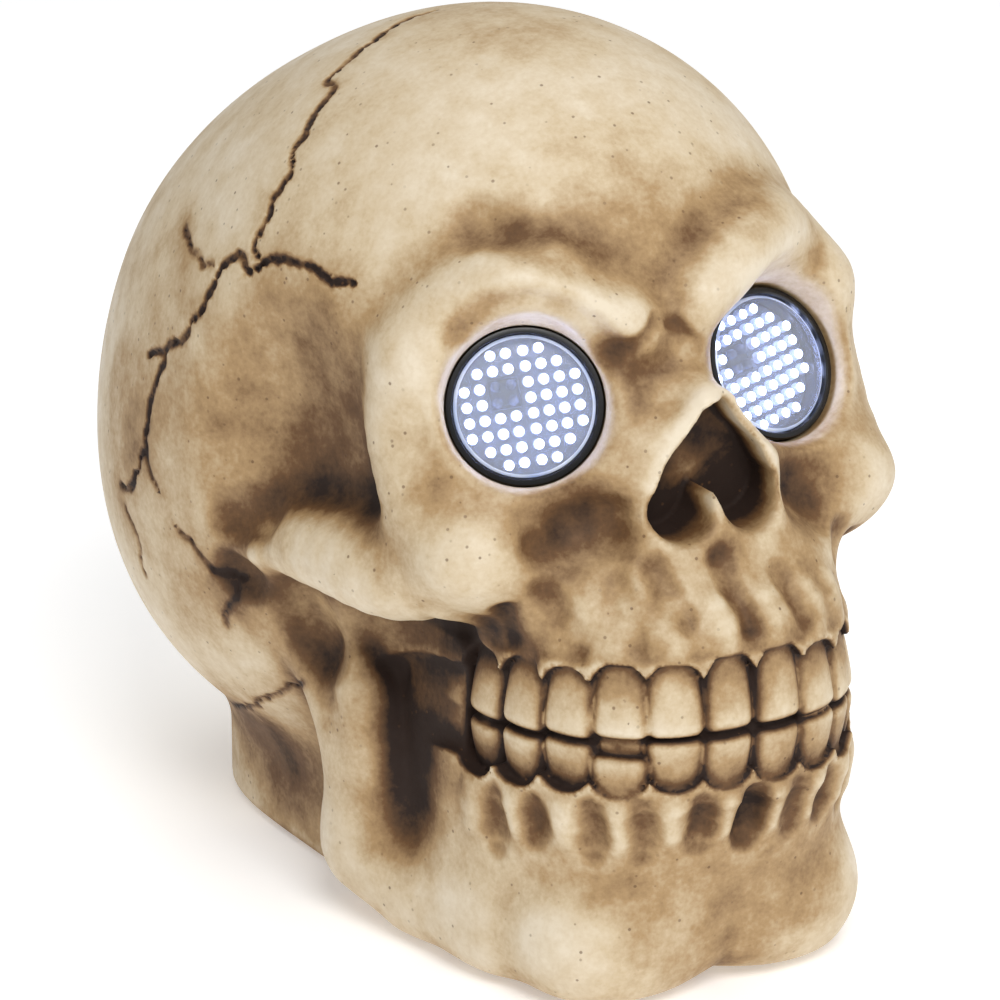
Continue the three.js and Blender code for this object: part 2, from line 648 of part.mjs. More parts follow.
// Points along the dental arch at given lengths from its middle, with the way that it runs there
function archPoints(lengths) {
  const power = 2 / ARCH_POWER;
  const at = (angle) => new THREE.Vector2(
    ARCH_HALF_WIDTH * Math.sin(angle) ** power, ARCH_BACK - ARCH_DEPTH * Math.cos(angle) ** power);
  const steps = 400;
  const found = [];
  let run = 0;
  let last = at(0);
  for (let i = 1; i <= steps; i += 1) {
    const next = at(Math.PI / 2 * i / steps);
    const span = next.distanceTo(last);
    while (found.length < lengths.length && run + span >= lengths[found.length]) {
      const point = last.clone().lerp(next, (lengths[found.length] - run) / span);
      found.push({ point, angle: Math.atan2(next.y - last.y, next.x - last.x) });
    }
    run += span;
    last = next;
  }
  return found;
}

// A tooth is a soft-cornered block
function toothForm(width, height) {
  const form = new THREE.SphereGeometry(1, 8, 4).rotateX(Math.PI / 2).rotateZ(Math.PI / 8);
  const place = form.attributes.position;
  const squared = (value) => Math.sign(value) * Math.abs(value) ** TOOTH_SQUARENESS;
  for (let i = 0; i < place.count; i += 1) {
    place.setXYZ(i, squared(place.getX(i)) * width / 2, squared(place.getY(i)) * TOOTH_THICKNESS / 2,
      squared(place.getZ(i)) * height / 2);
  }
  return form;
}

function teeth() {
  const solids = [];
  let run = 0;
  const middles = TOOTH_WIDTHS.map((width) => {
    run += width;
    return run - width / 2;
  });
  const inward = TOOTH_THICKNESS / 2 - TOOTH_STAND;
  archPoints(middles).forEach(({ point, angle }, i) => {
    for (const side of [-1, 1]) {
      for (const [height, row] of [[UPPER_TOOTH_HEIGHT, 1], [LOWER_TOOTH_HEIGHT, -1]]) {
        const form = toothForm(TOOTH_WIDTHS[i] - TOOTH_GAP, height);
        const x = point.x - inward * Math.sin(angle);
        const y = point.y + inward * Math.cos(angle);
        form.rotateZ(side * angle);
        form.translate(side * x, y, biteLine(point.y) + row * (height / 2 - TOOTH_BITE));
        solids.push(toSolid(form));
      }
    }
  });
  return solids;
}

// Casting: one shell with its teeth, open at the sockets, the nose and under the neck
const screwSpots = [[-1, -1], [1, -1], [-1, 1], [1, 1]].map(([sideX, sideY]) => (
  [sideX * (mouthHalfX + LEDGE_WIDTH / 2), NECK_CENTRE_Y + sideY * SCREW_SPREAD]));

function turned(profile, sides) {
  const points = profile.map(([radius, height]) => new THREE.Vector2(radius, height));
  return new THREE.LatheGeometry(points, sides).rotateX(Math.PI / 2);
}

// The lamp's bore, flared where it leaves the face
function socketCut(eye) {
  const back = -HOUSING_DEPTH - SOCKET_REACH;
  const flared = boreRadius + SOCKET_FLARE * SOCKET_FLARE_LIMIT;
  const flareEnd = SOCKET_FLARE_START + SOCKET_FLARE_RUN * SOCKET_FLARE_LIMIT;
  const front = 2 * flareEnd;
  const profile = [
    [0, back],
    [boreRadius, back],
    [boreRadius, SOCKET_FLARE_START],
    [flared, flareEnd],
    [flared, front],
    [0, front],
  ];
  return turned(profile, 28).applyMatrix4(eye.matrix);
}

// A round-ended bar between two points with a radius each
function barCut([ax, ay, az, ar], [bx, by, bz, br]) {
  const from = new THREE.Vector3(ax, ay, az);
  const way = new THREE.Vector3(bx, by, bz).sub(from);
  const length = way.length();
  const profile = [[0, -ar], [ar * 0.8, -ar * 0.6], [ar, 0], [br, length], [br * 0.8, length + br * 0.6],
    [0, length + br]];
  const turn = new THREE.Quaternion().setFromUnitVectors(new THREE.Vector3(0, 0, 1), way.normalize());
  return turned(profile, 10).applyQuaternion(turn).translate(ax, ay, az);
}

function noseCuts() {
  const other = ([x, y, z, radius]) => [-x, y, z, radius];
  return [NOSE_SLOT, NOSE_SLOT_BACK, NOSE_CAVE].flatMap((bar) => [barCut(...bar), barCut(...bar.map(other))]);
}

function skullShell() {
  const xStops = [-sideLimit, -FACE_HALF_WIDTH, FACE_HALF_WIDTH, sideLimit];
  const xs = gridLines(xStops, [CROWN_CELL, FACE_CELL, CROWN_CELL]);
  const ys = gridLines([frontLimit, FACE_BACK, rearLimit], [FACE_CELL, CROWN_CELL]);
  const zs = gridLines([-GRID_MARGIN, FACE_BOTTOM, FACE_TOP, topLimit], [JAW_CELL, FACE_CELL, CROWN_CELL]);
  let shell = toSolid(surfaceOf(skullField, xs, ys, zs));
  for (const tooth of teeth()) shell = shell.add(tooth);
  const wide = gridLines([-sideLimit, sideLimit], [HOLLOW_CELL]);
  const long = gridLines([HOLLOW_FRONT - HOLLOW_CELL, rearLimit], [HOLLOW_CELL]);
  const tall = gridLines([0, topLimit], [HOLLOW_CELL]);
  shell = shell.subtract(toSolid(surfaceOf(hollowField, wide, long, tall)));
  const belowFloor = block(4 * sideLimit, 4 * rearLimit, 4 * TRIM_DEPTH, 0, 0, FOOT_HEIGHT - 2 * TRIM_DEPTH);
  const rebate = slab(plateHalfX + FIT, plateHalfY + FIT, PLATE_CORNER, 2 * PLATE_THICKNESS,
    NECK_CENTRE_Y, plateTop + FIT - 2 * PLATE_THICKNESS);
  const mouth = slab(mouthHalfX, mouthHalfY, PLATE_CORNER - LEDGE_WIDTH, 3 * LEDGE_HEIGHT,
    NECK_CENTRE_Y, FOOT_HEIGHT);
  const pilots = screwSpots.map(([x, y]) => (
    rodOn(SCREW_DIAMETER + 2 * FIT, SCREW_LENGTH + FIT, x, y, FOOT_HEIGHT, 10)));
  const cuts = [belowFloor, rebate, mouth, ...eyes.map(socketCut), ...noseCuts(), ...pilots];
  return largest(cutBy(shell, cuts));
}

// Base plate with the battery bay's walls, the board's posts and the seats of door and switch
function onBothSides(make) {
  return [-1, 1].map(make);
}

function knuckle(diameter, length, side) {
  const rod = new THREE.CylinderGeometry(diameter / 2, diameter / 2, length, 12).rotateZ(Math.PI / 2);
  return rod.translate(side * KNUCKLE_SPREAD, knuckleY, knuckleZ);
}

function basePlate() {
  const bayHeight = bayTop + BAY_WALL - FOOT_HEIGHT;
  const postHeight = BOARD_STANDOFF + PLATE_THICKNESS;
  const bossHeight = DOOR_BOSS_HEIGHT + PLATE_THICKNESS;
  const plate = joined([
    slab(plateHalfX, plateHalfY, PLATE_CORNER, PLATE_THICKNESS, NECK_CENTRE_Y, FOOT_HEIGHT),
    blockOn(bayX + 2 * BAY_WALL, bayY + 2 * BAY_WALL, bayHeight, 0, bayMiddle, FOOT_HEIGHT),
    rodOn(DOOR_BOSS_DIAMETER, bossHeight, 0, doorScrewY, FOOT_HEIGHT, 12),
    ...onBothSides((side) => (
      rodOn(BOARD_POST_DIAMETER, postHeight, side * boardScrewX, boardY, FOOT_HEIGHT, 12))),
  ]);
  const slotX = KNOB_SIZE[0] + SWITCH_TRAVEL + 2 * FIT;
  const notchY = KNUCKLE_DIAMETER + 2 * FIT + KNUCKLE_OFFSET;
  const notchX = KNUCKLE_LENGTH + 2 * FIT;
  const tabMiddle = doorScrewY + DOOR_LAP / 2;
  const headHole = SCREW_HEAD_HEIGHT + FLUSH + FIT;
  const frontLeadHole = new THREE.CylinderGeometry(leadHole / 2, leadHole / 2, 3 * BAY_WALL, 10);
  return cutBy(plate, [
    blockOn(bayX, bayY, bayTop, 0, bayMiddle, 0),
    blockOn(DOOR_TAB[0] + 2 * FIT, DOOR_TAB[1] + DOOR_LAP, doorTop + FIT, 0, tabMiddle - FIT, 0),
    rodOn(DOOR_SCREW_DIAMETER + 3 * FIT, DOOR_SCREW_LENGTH + 2 * FIT, 0, doorScrewY, FOOT_HEIGHT, 10),
    ...onBothSides((side) => blockOn(notchX, notchY, plateTop + FIT, side * KNUCKLE_SPREAD,
      knuckleY + KNUCKLE_DIAMETER / 2 + FIT - notchY / 2, 0)),
    ...onBothSides((side) => knuckle(PIVOT_DIAMETER + 2 * FIT, notchX + 2 * PIVOT_REACH, side)),
    ...screwSpots.map(([x, y]) => rodOn(SCREW_DIAMETER + 2 * FIT, SCREW_LENGTH, x, y, 0, 10)),
    ...screwSpots.map(([x, y]) => rodOn(SCREW_HEAD + 2 * FIT, headHole, x, y, FOOT_HEIGHT, 12)),
    ...onBothSides((side) => rodOn(BOARD_SCREW_DIAMETER + 2 * FIT, BOARD_STANDOFF + FIT,
      side * boardScrewX, boardY, plateTop, 10)),
    blockOn(slotX, KNOB_SIZE[1] + 2 * FIT, 2 * plateTop, SWITCH_X, switchY, 0),
    frontLeadHole.translate(leadCell, bayFront - BAY_WALL / 2, frontLeadZ),
    rodOn(leadHole, 3 * BAY_WALL, -leadCell, rearLeadY, bayTop - BAY_WALL, 10),
  ]);
}

function screw(diameter, length, head, headHeight) {
  return toGeometry(joined([
    rodOn(head, headHeight, 0, 0, 0, 12),
    rodOn(diameter, length, 0, 0, 0, 8),
  ]));
}

function at(x, y, z) {
  return new THREE.Matrix4().makeTranslation(x, y, z);
}

// Battery door: pivots turn in the plate behind the bay, a screw holds the tab in front
function batteryDoor() {
  const doorY = bayY - FIT - DOOR_HINGE_GAP;
  const armY = KNUCKLE_OFFSET + DOOR_HINGE_GAP + DOOR_LAP;
  const tabMiddle = doorScrewY + DOOR_LAP / 2;
  const door = joined([
    blockOn(bayX - 2 * FIT, doorY, DOOR_THICKNESS, 0, bayFront + FIT + doorY / 2, FOOT_HEIGHT),
    blockOn(DOOR_TAB[0], DOOR_TAB[1] + DOOR_LAP, DOOR_THICKNESS, 0, tabMiddle, FOOT_HEIGHT),
    ...onBothSides((side) => knuckle(KNUCKLE_DIAMETER, KNUCKLE_LENGTH, side)),
    ...onBothSides((side) => knuckle(PIVOT_DIAMETER, KNUCKLE_LENGTH + 2 * PIVOT_REACH, side)),
    ...onBothSides((side) => block(KNUCKLE_LENGTH, armY, KNUCKLE_ARM, side * KNUCKLE_SPREAD,
      knuckleY - armY / 2, doorTop - KNUCKLE_ARM / 2)),
  ]);
  return cutBy(door, [
    rodOn(DOOR_SCREW_DIAMETER + 2 * FIT, 2 * doorTop, 0, doorScrewY, 0, 10),
    rodOn(DOOR_SCREW_HEAD + 2 * FIT, DOOR_SCREW_HEAD_HEIGHT + FIT, 0, doorScrewY, FOOT_HEIGHT, 12),
  ]);
}

function cell(nubSide) {
  const spin = (diameter, length, y) => (
    new THREE.CylinderGeometry(diameter / 2, diameter / 2, length, 16).translate(0, y, 0));
  const middle = -nubSide * CELL_NUB_LENGTH / 2;
  return toGeometry(joined([
    spin(CELL_DIAMETER, CELL_LENGTH, middle),
    spin(CELL_NUB_DIAMETER, 2 * CELL_NUB_LENGTH, middle + nubSide * CELL_LENGTH / 2),
  ]));
}

// A leaf contact, bent to a V, that stands against one end wall of the bay
function contact(width) {
  const reach = CONTACT_SPACE - 2 * FIT;
  const outline = [
    [0, 0],
    [CONTACT_THICKNESS, 0],
    [reach, CONTACT_HEIGHT / 2],
    [CONTACT_THICKNESS, CONTACT_HEIGHT],
    [0, CONTACT_HEIGHT],
    [reach - CONTACT_THICKNESS, CONTACT_HEIGHT / 2],
  ];
  const shape = new THREE.Shape(outline.map(([y, z]) => new THREE.Vector2(y, z)));
  const strip = new THREE.ExtrudeGeometry(shape, { depth: width, bevelEnabled: false });
  const stood = strip.rotateX(Math.PI / 2).rotateZ(Math.PI / 2).translate(-width / 2, 0, 0);
  return toGeometry(toSolid(stood));
}

function lead(points) {
  const curve = new THREE.CatmullRomCurve3(points.map((point) => new THREE.Vector3(...point)));
  const section = new THREE.Shape();
  section.absarc(0, 0, LEAD_DIAMETER / 2, 0, 2 * Math.PI, false);
  const steps = Math.max(6, Math.round(curve.getLength() / (3 * LEAD_DIAMETER)));
  const options = { steps, curveSegments: 8, bevelEnabled: false, extrudePath: curve };
  return toGeometry(toSolid(new THREE.ExtrudeGeometry(section, options)));
}

const group = new THREE.Group();

function place(name, geometry, material, matrix) {
  const mesh = new THREE.Mesh(geometry, material);
  mesh.name = name;
  if (matrix) mesh.applyMatrix4(matrix);
  group.add(mesh);
}

place('skull_shell', toGeometry(skullShell()), paint.resin);
place('base_plate', toGeometry(basePlate()), paint.basePlastic);
screwSpots.forEach(([x, y], i) => {
  const form = screw(SCREW_DIAMETER, SCREW_LENGTH, SCREW_HEAD, SCREW_HEAD_HEIGHT);
  place(`base_screw_${i + 1}`, form, paint.steel, at(x, y, FOOT_HEIGHT + FLUSH));
});

const platePad = [plateHalfX - PLATE_PAD_INSET[0], NECK_CENTRE_Y + plateHalfY - PLATE_PAD_INSET[1]];
const padSpots = [CHIN_PAD, platePad].flatMap(([x, y]) => [[-x, y], [x, y]]);
padSpots.forEach(([x, y], i) => {
  const form = toGeometry(toSolid(rodOn(FOOT_DIAMETER, FOOT_HEIGHT - FLUSH, 0, 0, 0, 20)));
  place(`foot_pad_${i + 1}`, form, paint.rubber, at(x, y, 0));
});

const doorScrew = screw(DOOR_SCREW_DIAMETER, DOOR_SCREW_LENGTH, DOOR_SCREW_HEAD, DOOR_SCREW_HEAD_HEIGHT);
place('battery_door', toGeometry(batteryDoor()), paint.basePlastic);
place('door_screw', doorScrew, paint.steel, at(0, doorScrewY, FOOT_HEIGHT));
for (let i = 0; i < CELL_COUNT; i += 1) {
  const x = (i - (CELL_COUNT - 1) / 2) * cellPitch;
  const nubSide = i % 2 === 0 ? 1 : -1;
  place(`battery_cell_${i + 1}`, cell(nubSide), paint.cellWrap, at(x, bayMiddle, cellAxis));
}

const contactBase = cellAxis - CONTACT_HEIGHT / 2;
const pairWidth = CONTACT_WIDTH + cellPitch;
const halfTurn = new THREE.Matrix4().makeRotationZ(Math.PI);
const frontSeat = (x) => at(x, bayFront + FIT, contactBase);
const rearSeat = (x) => at(x, bayRear - FIT, contactBase).multiply(halfTurn);
place('contact_front_pair', contact(pairWidth), paint.steel, frontSeat(-cellPitch / 2));
place('contact_front_single', contact(CONTACT_WIDTH), paint.steel, frontSeat(leadCell));
place('contact_rear_pair', contact(pairWidth), paint.steel, rearSeat(cellPitch / 2));
place('contact_rear_single', contact(CONTACT_WIDTH), paint.steel, rearSeat(-leadCell));

// Driver board on its posts
const boardBlank = toSolid(blockOn(...BOARD_SIZE, 0, boardY, boardBottom));
const boardHole = BOARD_SCREW_DIAMETER + 2 * FIT;
const boardHoles = onBothSides((side) => rodOn(boardHole, 2 * boardTop, side * boardScrewX, boardY, 0, 10));
place('driver_board', toGeometry(cutBy(boardBlank, boardHoles)), paint.circuitBoard);
const chip = toSolid(blockOn(...CHIP_SIZE, 0, boardY, boardTop + FIT));
place('driver_chip', toGeometry(chip), paint.blackPlastic);
const headUp = new THREE.Matrix4().makeRotationX(Math.PI);
const boardScrewTop = boardTop + FIT + BOARD_SCREW_HEAD_HEIGHT;
onBothSides((side) => side).forEach((side, i) => {
  const length = BOARD_SCREW_HEAD_HEIGHT + FIT + BOARD_SIZE[2] + BOARD_STANDOFF;
  const form = screw(BOARD_SCREW_DIAMETER, length, BOARD_SCREW_HEAD, BOARD_SCREW_HEAD_HEIGHT);
  const seat = at(side * boardScrewX, boardY, boardScrewTop).multiply(headUp);
  place(`board_screw_${i + 1}`, form, paint.steel, seat);
});

// Slide switch: its knob reaches through the plate, and rests at the lit end of its slot
const knobX = SWITCH_X + SWITCH_TRAVEL / 2;
const knobBottom = FOOT_HEIGHT + KNOB_RECESS;
const pocketX = carriage[0] + SWITCH_TRAVEL + 2 * FIT;
const pocketY = carriage[1] + 2 * FIT;
const pocketTop = switchBase + CARRIAGE_HEIGHT + FIT;
const switchBlank = toSolid(blockOn(...SWITCH_BODY, SWITCH_X, switchY, switchBase));
const switchPocket = blockOn(pocketX, pocketY, pocketTop, SWITCH_X, switchY, 0);
place('switch_body', toGeometry(cutBy(switchBlank, [switchPocket])), paint.blackPlastic);
place('switch_slider', toGeometry(joined([
  blockOn(...carriage, CARRIAGE_HEIGHT, knobX, switchY, switchBase),
  blockOn(...KNOB_SIZE, switchBase + CARRIAGE_HEIGHT / 2 - knobBottom, knobX, switchY, knobBottom),
])), paint.blackPlastic);

// Lamps
const seatRadius = lensRadius - LENS_SEAT;
const discRadius = seatRadius - FIT;
const lensBack = -LENS_THICKNESS;
const filmFront = lensBack - LED_LENS_GAP - LED_HEIGHT;
const filmBack = filmFront - LED_FILM_THICKNESS;
const filmMiddle = (filmFront + filmBack) / 2;
const boardFront = filmBack - FIT;
const boardBack = boardFront - LED_BOARD_THICKNESS;
const patchSide = 2 * LED_PITCH;
const patchSpot = [-LED_PITCH - LED_SPLIT / 2, LED_PITCH];

function diodeSpots() {
  const spots = [];
  LED_ROWS.forEach((count, row) => {
    for (let i = 0; i < count; i += 1) {
      const column = i - (count - 1) / 2;
      const u = column * LED_PITCH + Math.sign(column) * LED_SPLIT / 2;
      const v = ((LED_ROWS.length - 1) / 2 - row) * LED_PITCH;
      const dark = Math.abs(u - patchSpot[0]) < LED_PITCH && Math.abs(v - patchSpot[1]) < LED_PITCH;
      spots.push({ u, v, dark });
    }
  });
  return spots;
}

function diodeDome({ u, v }) {
  const height = LED_HEIGHT + LED_FILM_THICKNESS / 2;
  const dome = new THREE.CylinderGeometry(LED_TIP_DIAMETER / 2, LED_DIAMETER / 2, height, 5);
  return dome.rotateX(Math.PI / 2).translate(u, v, filmMiddle + height / 2);
}

function disc(radius, back, front) {
  return turned([[0, back], [radius, back], [radius, front], [0, front]], 32);
}

// The film under the lit domes is cut out for the group that stays dark, which has its own
function diodes(dark) {
  const patch = (side, thickness) => block(side, side, thickness, ...patchSpot, filmMiddle);
  const film = dark
    ? toSolid(patch(patchSide - 2 * FIT, LED_FILM_THICKNESS))
    : cutBy(toSolid(disc(discRadius, filmBack, filmFront)), [patch(patchSide, 2 * LED_FILM_THICKNESS)]);
  const domes = diodeSpots().filter((spot) => spot.dark === dark).map((spot) => toSolid(diodeDome(spot)));
  const whole = domes.reduce((rest, dome) => rest.add(dome), film);
  return toGeometry(whole).rotateZ(THREE.MathUtils.degToRad(LED_TILT));
}

const housingProfile = [
  [leadHole / 2, -HOUSING_DEPTH],
  [housingRadius, -HOUSING_DEPTH],
  [housingRadius, HOUSING_LIP],
  [lensRadius + FIT, HOUSING_LIP],
  [lensRadius + FIT, lensBack - FIT],
  [seatRadius, lensBack - FIT],
  [seatRadius, boardBack - FIT],
  [seatRadius - BOARD_SEAT, boardBack - FIT],
  [seatRadius - BOARD_SEAT, HOUSING_FLOOR - HOUSING_DEPTH],
  [leadHole / 2, HOUSING_FLOOR - HOUSING_DEPTH],
  [leadHole / 2, -HOUSING_DEPTH],
];
const lensProfile = [
  [0, lensBack],
  [lensRadius, lensBack],
  [lensRadius, -LENS_BEVEL],
  [lensRadius - LENS_BEVEL, 0],
  [lensRadius / 2, LENS_CROWN * 3 / 4],
  [0, LENS_CROWN],
];
eyes.forEach((eye) => {
  const side = eye.centre[0] < 0 ? 'right' : 'left';
  const housing = toGeometry(toSolid(turned(housingProfile, 32)));
  const lens = toGeometry(toSolid(turned(lensProfile, 32)));
  const board = toGeometry(toSolid(disc(discRadius, boardBack, boardFront)));
  place(`lamp_housing_${side}`, housing, paint.blackPlastic, eye.matrix);
  place(`lens_${side}`, lens, paint.clearPlastic, eye.matrix);
  place(`led_board_${side}`, board, paint.circuitBoard, eye.matrix);
  place(`leds_lit_${side}`, diodes(false), paint.litDiode, eye.matrix);
  place(`leds_unlit_${side}`, diodes(true), paint.darkDiode, eye.matrix);
  const behind = (w) => new THREE.Vector3(0, 0, w).applyMatrix4(eye.matrix).toArray();
  const x = Math.sign(eye.centre[0]) * EYE_LEAD_X;
  place(`eye_lead_${side}`, lead([
    behind(boardBack - FIT),
    behind(-HOUSING_DEPTH),
    behind(-HOUSING_DEPTH - LEAD_RISE),
    ...EYE_LEAD_BENDS.map(([y, z]) => [x, y, z]),
    [x, boardY, boardTop + 3 * LEAD_RISE],
    [x, boardY, boardTop + FIT],
  ]), paint.wire);
});

// Leads from the bay's two end contacts and from the switch to the board
const landingY = boardY + LEAD_LANDING;
const roofZ = bayTop + BAY_WALL + 2 * LEAD_DIAMETER;
place('battery_lead_front', lead([
  [leadCell, bayFront, frontLeadZ],
  [leadCell, bayFront - BAY_WALL, frontLeadZ],
  [leadCell, landingY, boardTop + LEAD_DIAMETER],
  [leadCell, landingY, boardTop + FIT],
]), paint.wire);
place('battery_lead_rear', lead([
  [-leadCell, rearLeadY, cellAxis + CONTACT_HEIGHT / 2 + FIT],
  [-leadCell, rearLeadY, bayTop + BAY_WALL + LEAD_DIAMETER / 2],
  [-leadCell, rearLeadY - LEAD_RISE, roofZ],
  [-leadCell, bayMiddle, roofZ],
  [-leadCell, bayFront, roofZ],
  [-leadCell, landingY, boardTop + LEAD_RISE],
  [-leadCell, landingY, boardTop + FIT],
]), paint.wire);
const switchLeadX = SWITCH_X + LEAD_DIAMETER;
const switchTop = switchBase + SWITCH_BODY[2];
place('switch_lead', lead([
  [switchLeadX, switchY, switchTop + FIT],
  [switchLeadX, switchY, switchTop + LEAD_RISE],
  [SWITCH_X, boardY - LEAD_LANDING, boardTop + LEAD_RISE],
  [SWITCH_X, boardY - LEAD_LANDING, boardTop + FIT],
]), paint.wire);

// The origin lies on the floor, under the middle of the whole
const middle = new THREE.Box3().setFromObject(group).getCenter(new THREE.Vector3());
group.children.forEach((mesh) => mesh.applyMatrix4(at(-middle.x, -middle.y, 0)));

export default group;
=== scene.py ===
import math
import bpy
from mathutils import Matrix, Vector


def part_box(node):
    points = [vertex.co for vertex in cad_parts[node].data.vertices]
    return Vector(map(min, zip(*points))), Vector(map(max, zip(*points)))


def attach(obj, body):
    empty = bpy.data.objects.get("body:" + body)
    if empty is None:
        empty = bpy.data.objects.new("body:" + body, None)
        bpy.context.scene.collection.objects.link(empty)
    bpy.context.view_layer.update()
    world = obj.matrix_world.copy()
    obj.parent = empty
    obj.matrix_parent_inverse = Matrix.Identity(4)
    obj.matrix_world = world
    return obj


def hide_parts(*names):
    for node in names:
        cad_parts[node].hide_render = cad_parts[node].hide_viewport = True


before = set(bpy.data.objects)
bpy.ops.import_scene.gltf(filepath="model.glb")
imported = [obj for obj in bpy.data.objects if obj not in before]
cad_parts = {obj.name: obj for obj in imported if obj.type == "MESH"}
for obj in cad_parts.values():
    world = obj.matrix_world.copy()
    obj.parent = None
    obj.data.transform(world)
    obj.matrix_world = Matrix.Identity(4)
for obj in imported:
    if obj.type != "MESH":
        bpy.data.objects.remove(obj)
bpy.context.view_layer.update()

from concurrent.futures import ThreadPoolExecutor

import bpy
import bmesh
import numpy as np
from mathutils import Matrix, Vector, kdtree

# Shapes are worked out in millimetres in the casting's own frame: face along -Y, floor at 0,
# neck centred on neckY
neckY = 38.0
plateLow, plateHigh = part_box("base_plate")
castShift = neckY - 500.0 * (plateLow.y + plateHigh.y)
print("casting frame lies", round(castShift, 3), "mm behind the part's origin")


def toRow(points):
    moved = np.array(points, float)
    moved[..., 1] -= castShift
    return moved / 1000.0


def linear(hexColour):
    parts = [int(hexColour[i:i + 2], 16) / 255.0 for i in (1, 3, 5)]
    return [c / 12.92 if c <= 0.04045 else ((c + 0.055) / 1.055) ** 2.4 for c in parts] + [1.0]


def addNode(tree, kind, inputs=None, out=0, **settings):
    node = tree.nodes.new(kind)
    for name, value in settings.items():
        setattr(node, name, value)
    for key, value in (inputs or {}).items():
        if isinstance(value, bpy.types.NodeSocket):
            tree.links.new(value, node.inputs[key])
        else:
            node.inputs[key].default_value = value
    return node.outputs[out] if node.outputs else node


def newMaterial(name):
    material = bpy.data.materials.new(name)
    material.use_nodes = True
    material.node_tree.nodes.clear()
    return material, material.node_tree


def axes(yaw, pitch):
    yaw, pitch = math.radians(yaw), math.radians(pitch)
    out = np.array([math.sin(yaw) * math.cos(pitch), -math.cos(yaw) * math.cos(pitch), math.sin(pitch)])
    across = np.array([math.cos(yaw), math.sin(yaw), 0.0])
    return across, np.cross(out, across), out


def axesMatrix(across, up, out, place):
    matrix = Matrix([(*across, 0), (*up, 0), (*out, 0), (0, 0, 0, 1)]).transposed()
    matrix.translation = place
    return matrix


# Camera: the photograph's own view, fitted to the skull's landmarks
camera = {
    "azimuth": -31.0,
    "elevation": 20.5,
    "distance": 1500.0,
    "lens": 214.0,
    "target": (-2.2534, 13.0322, 95.9215),
}
photoSide = 1000.0
camRight, camUp, camBack = axes(camera["azimuth"], camera["elevation"])
camPlace = np.array(camera["target"]) + camera["distance"] * camBack
camData = bpy.data.cameras.new("photoCamera")
camData.sensor_width = 36.0
camData.lens = camera["lens"]
camData.clip_start, camData.clip_end = 0.05, 20.0
camObject = bpy.data.objects.new("photoCamera", camData)
camObject.matrix_world = axesMatrix(camRight, camUp, camBack, Vector(toRow(camPlace)))
bpy.context.scene.collection.objects.link(camObject)
bpy.context.scene.camera = camObject


def photoRays(pixels):
    pixels = np.array(pixels, float)
    focal = photoSide * camera["lens"] / camData.sensor_width
    across, down = pixels[:, :1] - photoSide / 2, pixels[:, 1:] - photoSide / 2
    rays = -camBack * focal + camRight * across - camUp * down
    return rays / np.linalg.norm(rays, axis=1)[:, None]


# Lamps: where each sits, which way it faces, and its round parts
lamp = {
    "right": {"centre": (-36.3, -55.0, 148.0), "yaw": -28.0, "pitch": 20.0, "rim": 28.0, "rimShift": -2.0},
    "left": {"centre": (36.3, -50.5, 144.5), "yaw": 10.0, "pitch": 26.0, "rim": 26.0, "rimShift": 4.0},
    "housing": 19.0,
    "bore": 19.3,
    "depth": 19.0,
}


def lampAxes(side):
    return axes(lamp[side]["yaw"], lamp[side]["pitch"])


def lampMatrix(side):
    matrix = axesMatrix(*lampAxes(side), Vector(toRow(lamp[side]["centre"])) * 1000.0)
    return Matrix.Scale(0.001, 4) @ matrix


# Distance forms, each on three arrays of coordinates
def softMin(a, b, reach):
    near = np.maximum(reach - np.abs(a - b), 0) / reach
    return np.minimum(a, b) - 0.25 * reach * near * near


def softMax(a, b, reach):
    return -softMin(-a, -b, reach)


def egg(p, centre, radii):
    q = [(p[i] - centre[i]) / radii[i] for i in range(3)]
    near = np.sqrt(q[0] ** 2 + q[1] ** 2 + q[2] ** 2)
    slope = np.sqrt((q[0] / radii[0]) ** 2 + (q[1] / radii[1]) ** 2 + (q[2] / radii[2]) ** 2) + 1e-9
    return near * (near - 1) / slope


def eased(points, parts=4):
    # more points on a smooth curve through the given ones
    points = np.array(points, float)
    ends = np.concatenate([[2 * points[0] - points[1]], points, [2 * points[-1] - points[-2]]])
    route = []
    for i in range(1, len(ends) - 2):
        a, b, c, d = ends[i - 1:i + 3]
        for t in np.arange(parts) / parts:
            route.append(b + 0.5 * t * (c - a + t * (2 * a - 5 * b + 4 * c - d + t * (3 * (b - c) + d - a))))
    return [tuple(point) for point in route] + [tuple(points[-1])]


def limb(p, points, reach):
    field = None
    for a, b in zip(points[:-1], points[1:]):
        span = [b[i] - a[i] for i in range(3)]
        size = sum(s * s for s in span) + 1e-9
        along = sum((p[i] - a[i]) * span[i] for i in range(3)) / size
        t = np.clip(along, 0, 1)
        gap = np.sqrt(sum((p[i] - a[i] - t * span[i]) ** 2 for i in range(3)))
        piece = gap - (a[3] + t * (b[3] - a[3]))
        field = piece if field is None else softMin(field, piece, reach)
    return field


def plan(u, v, a, b, power):
    size = (np.abs(u) / a) ** power + (np.abs(v) / b) ** power
    return (size ** (1.0 / power) - 1) * np.minimum(a, b)


def inLamp(p, side):
    centre = lamp[side]["centre"]
    return [sum((p[i] - centre[i]) * axis[i] for i in range(3)) for axis in lampAxes(side)]


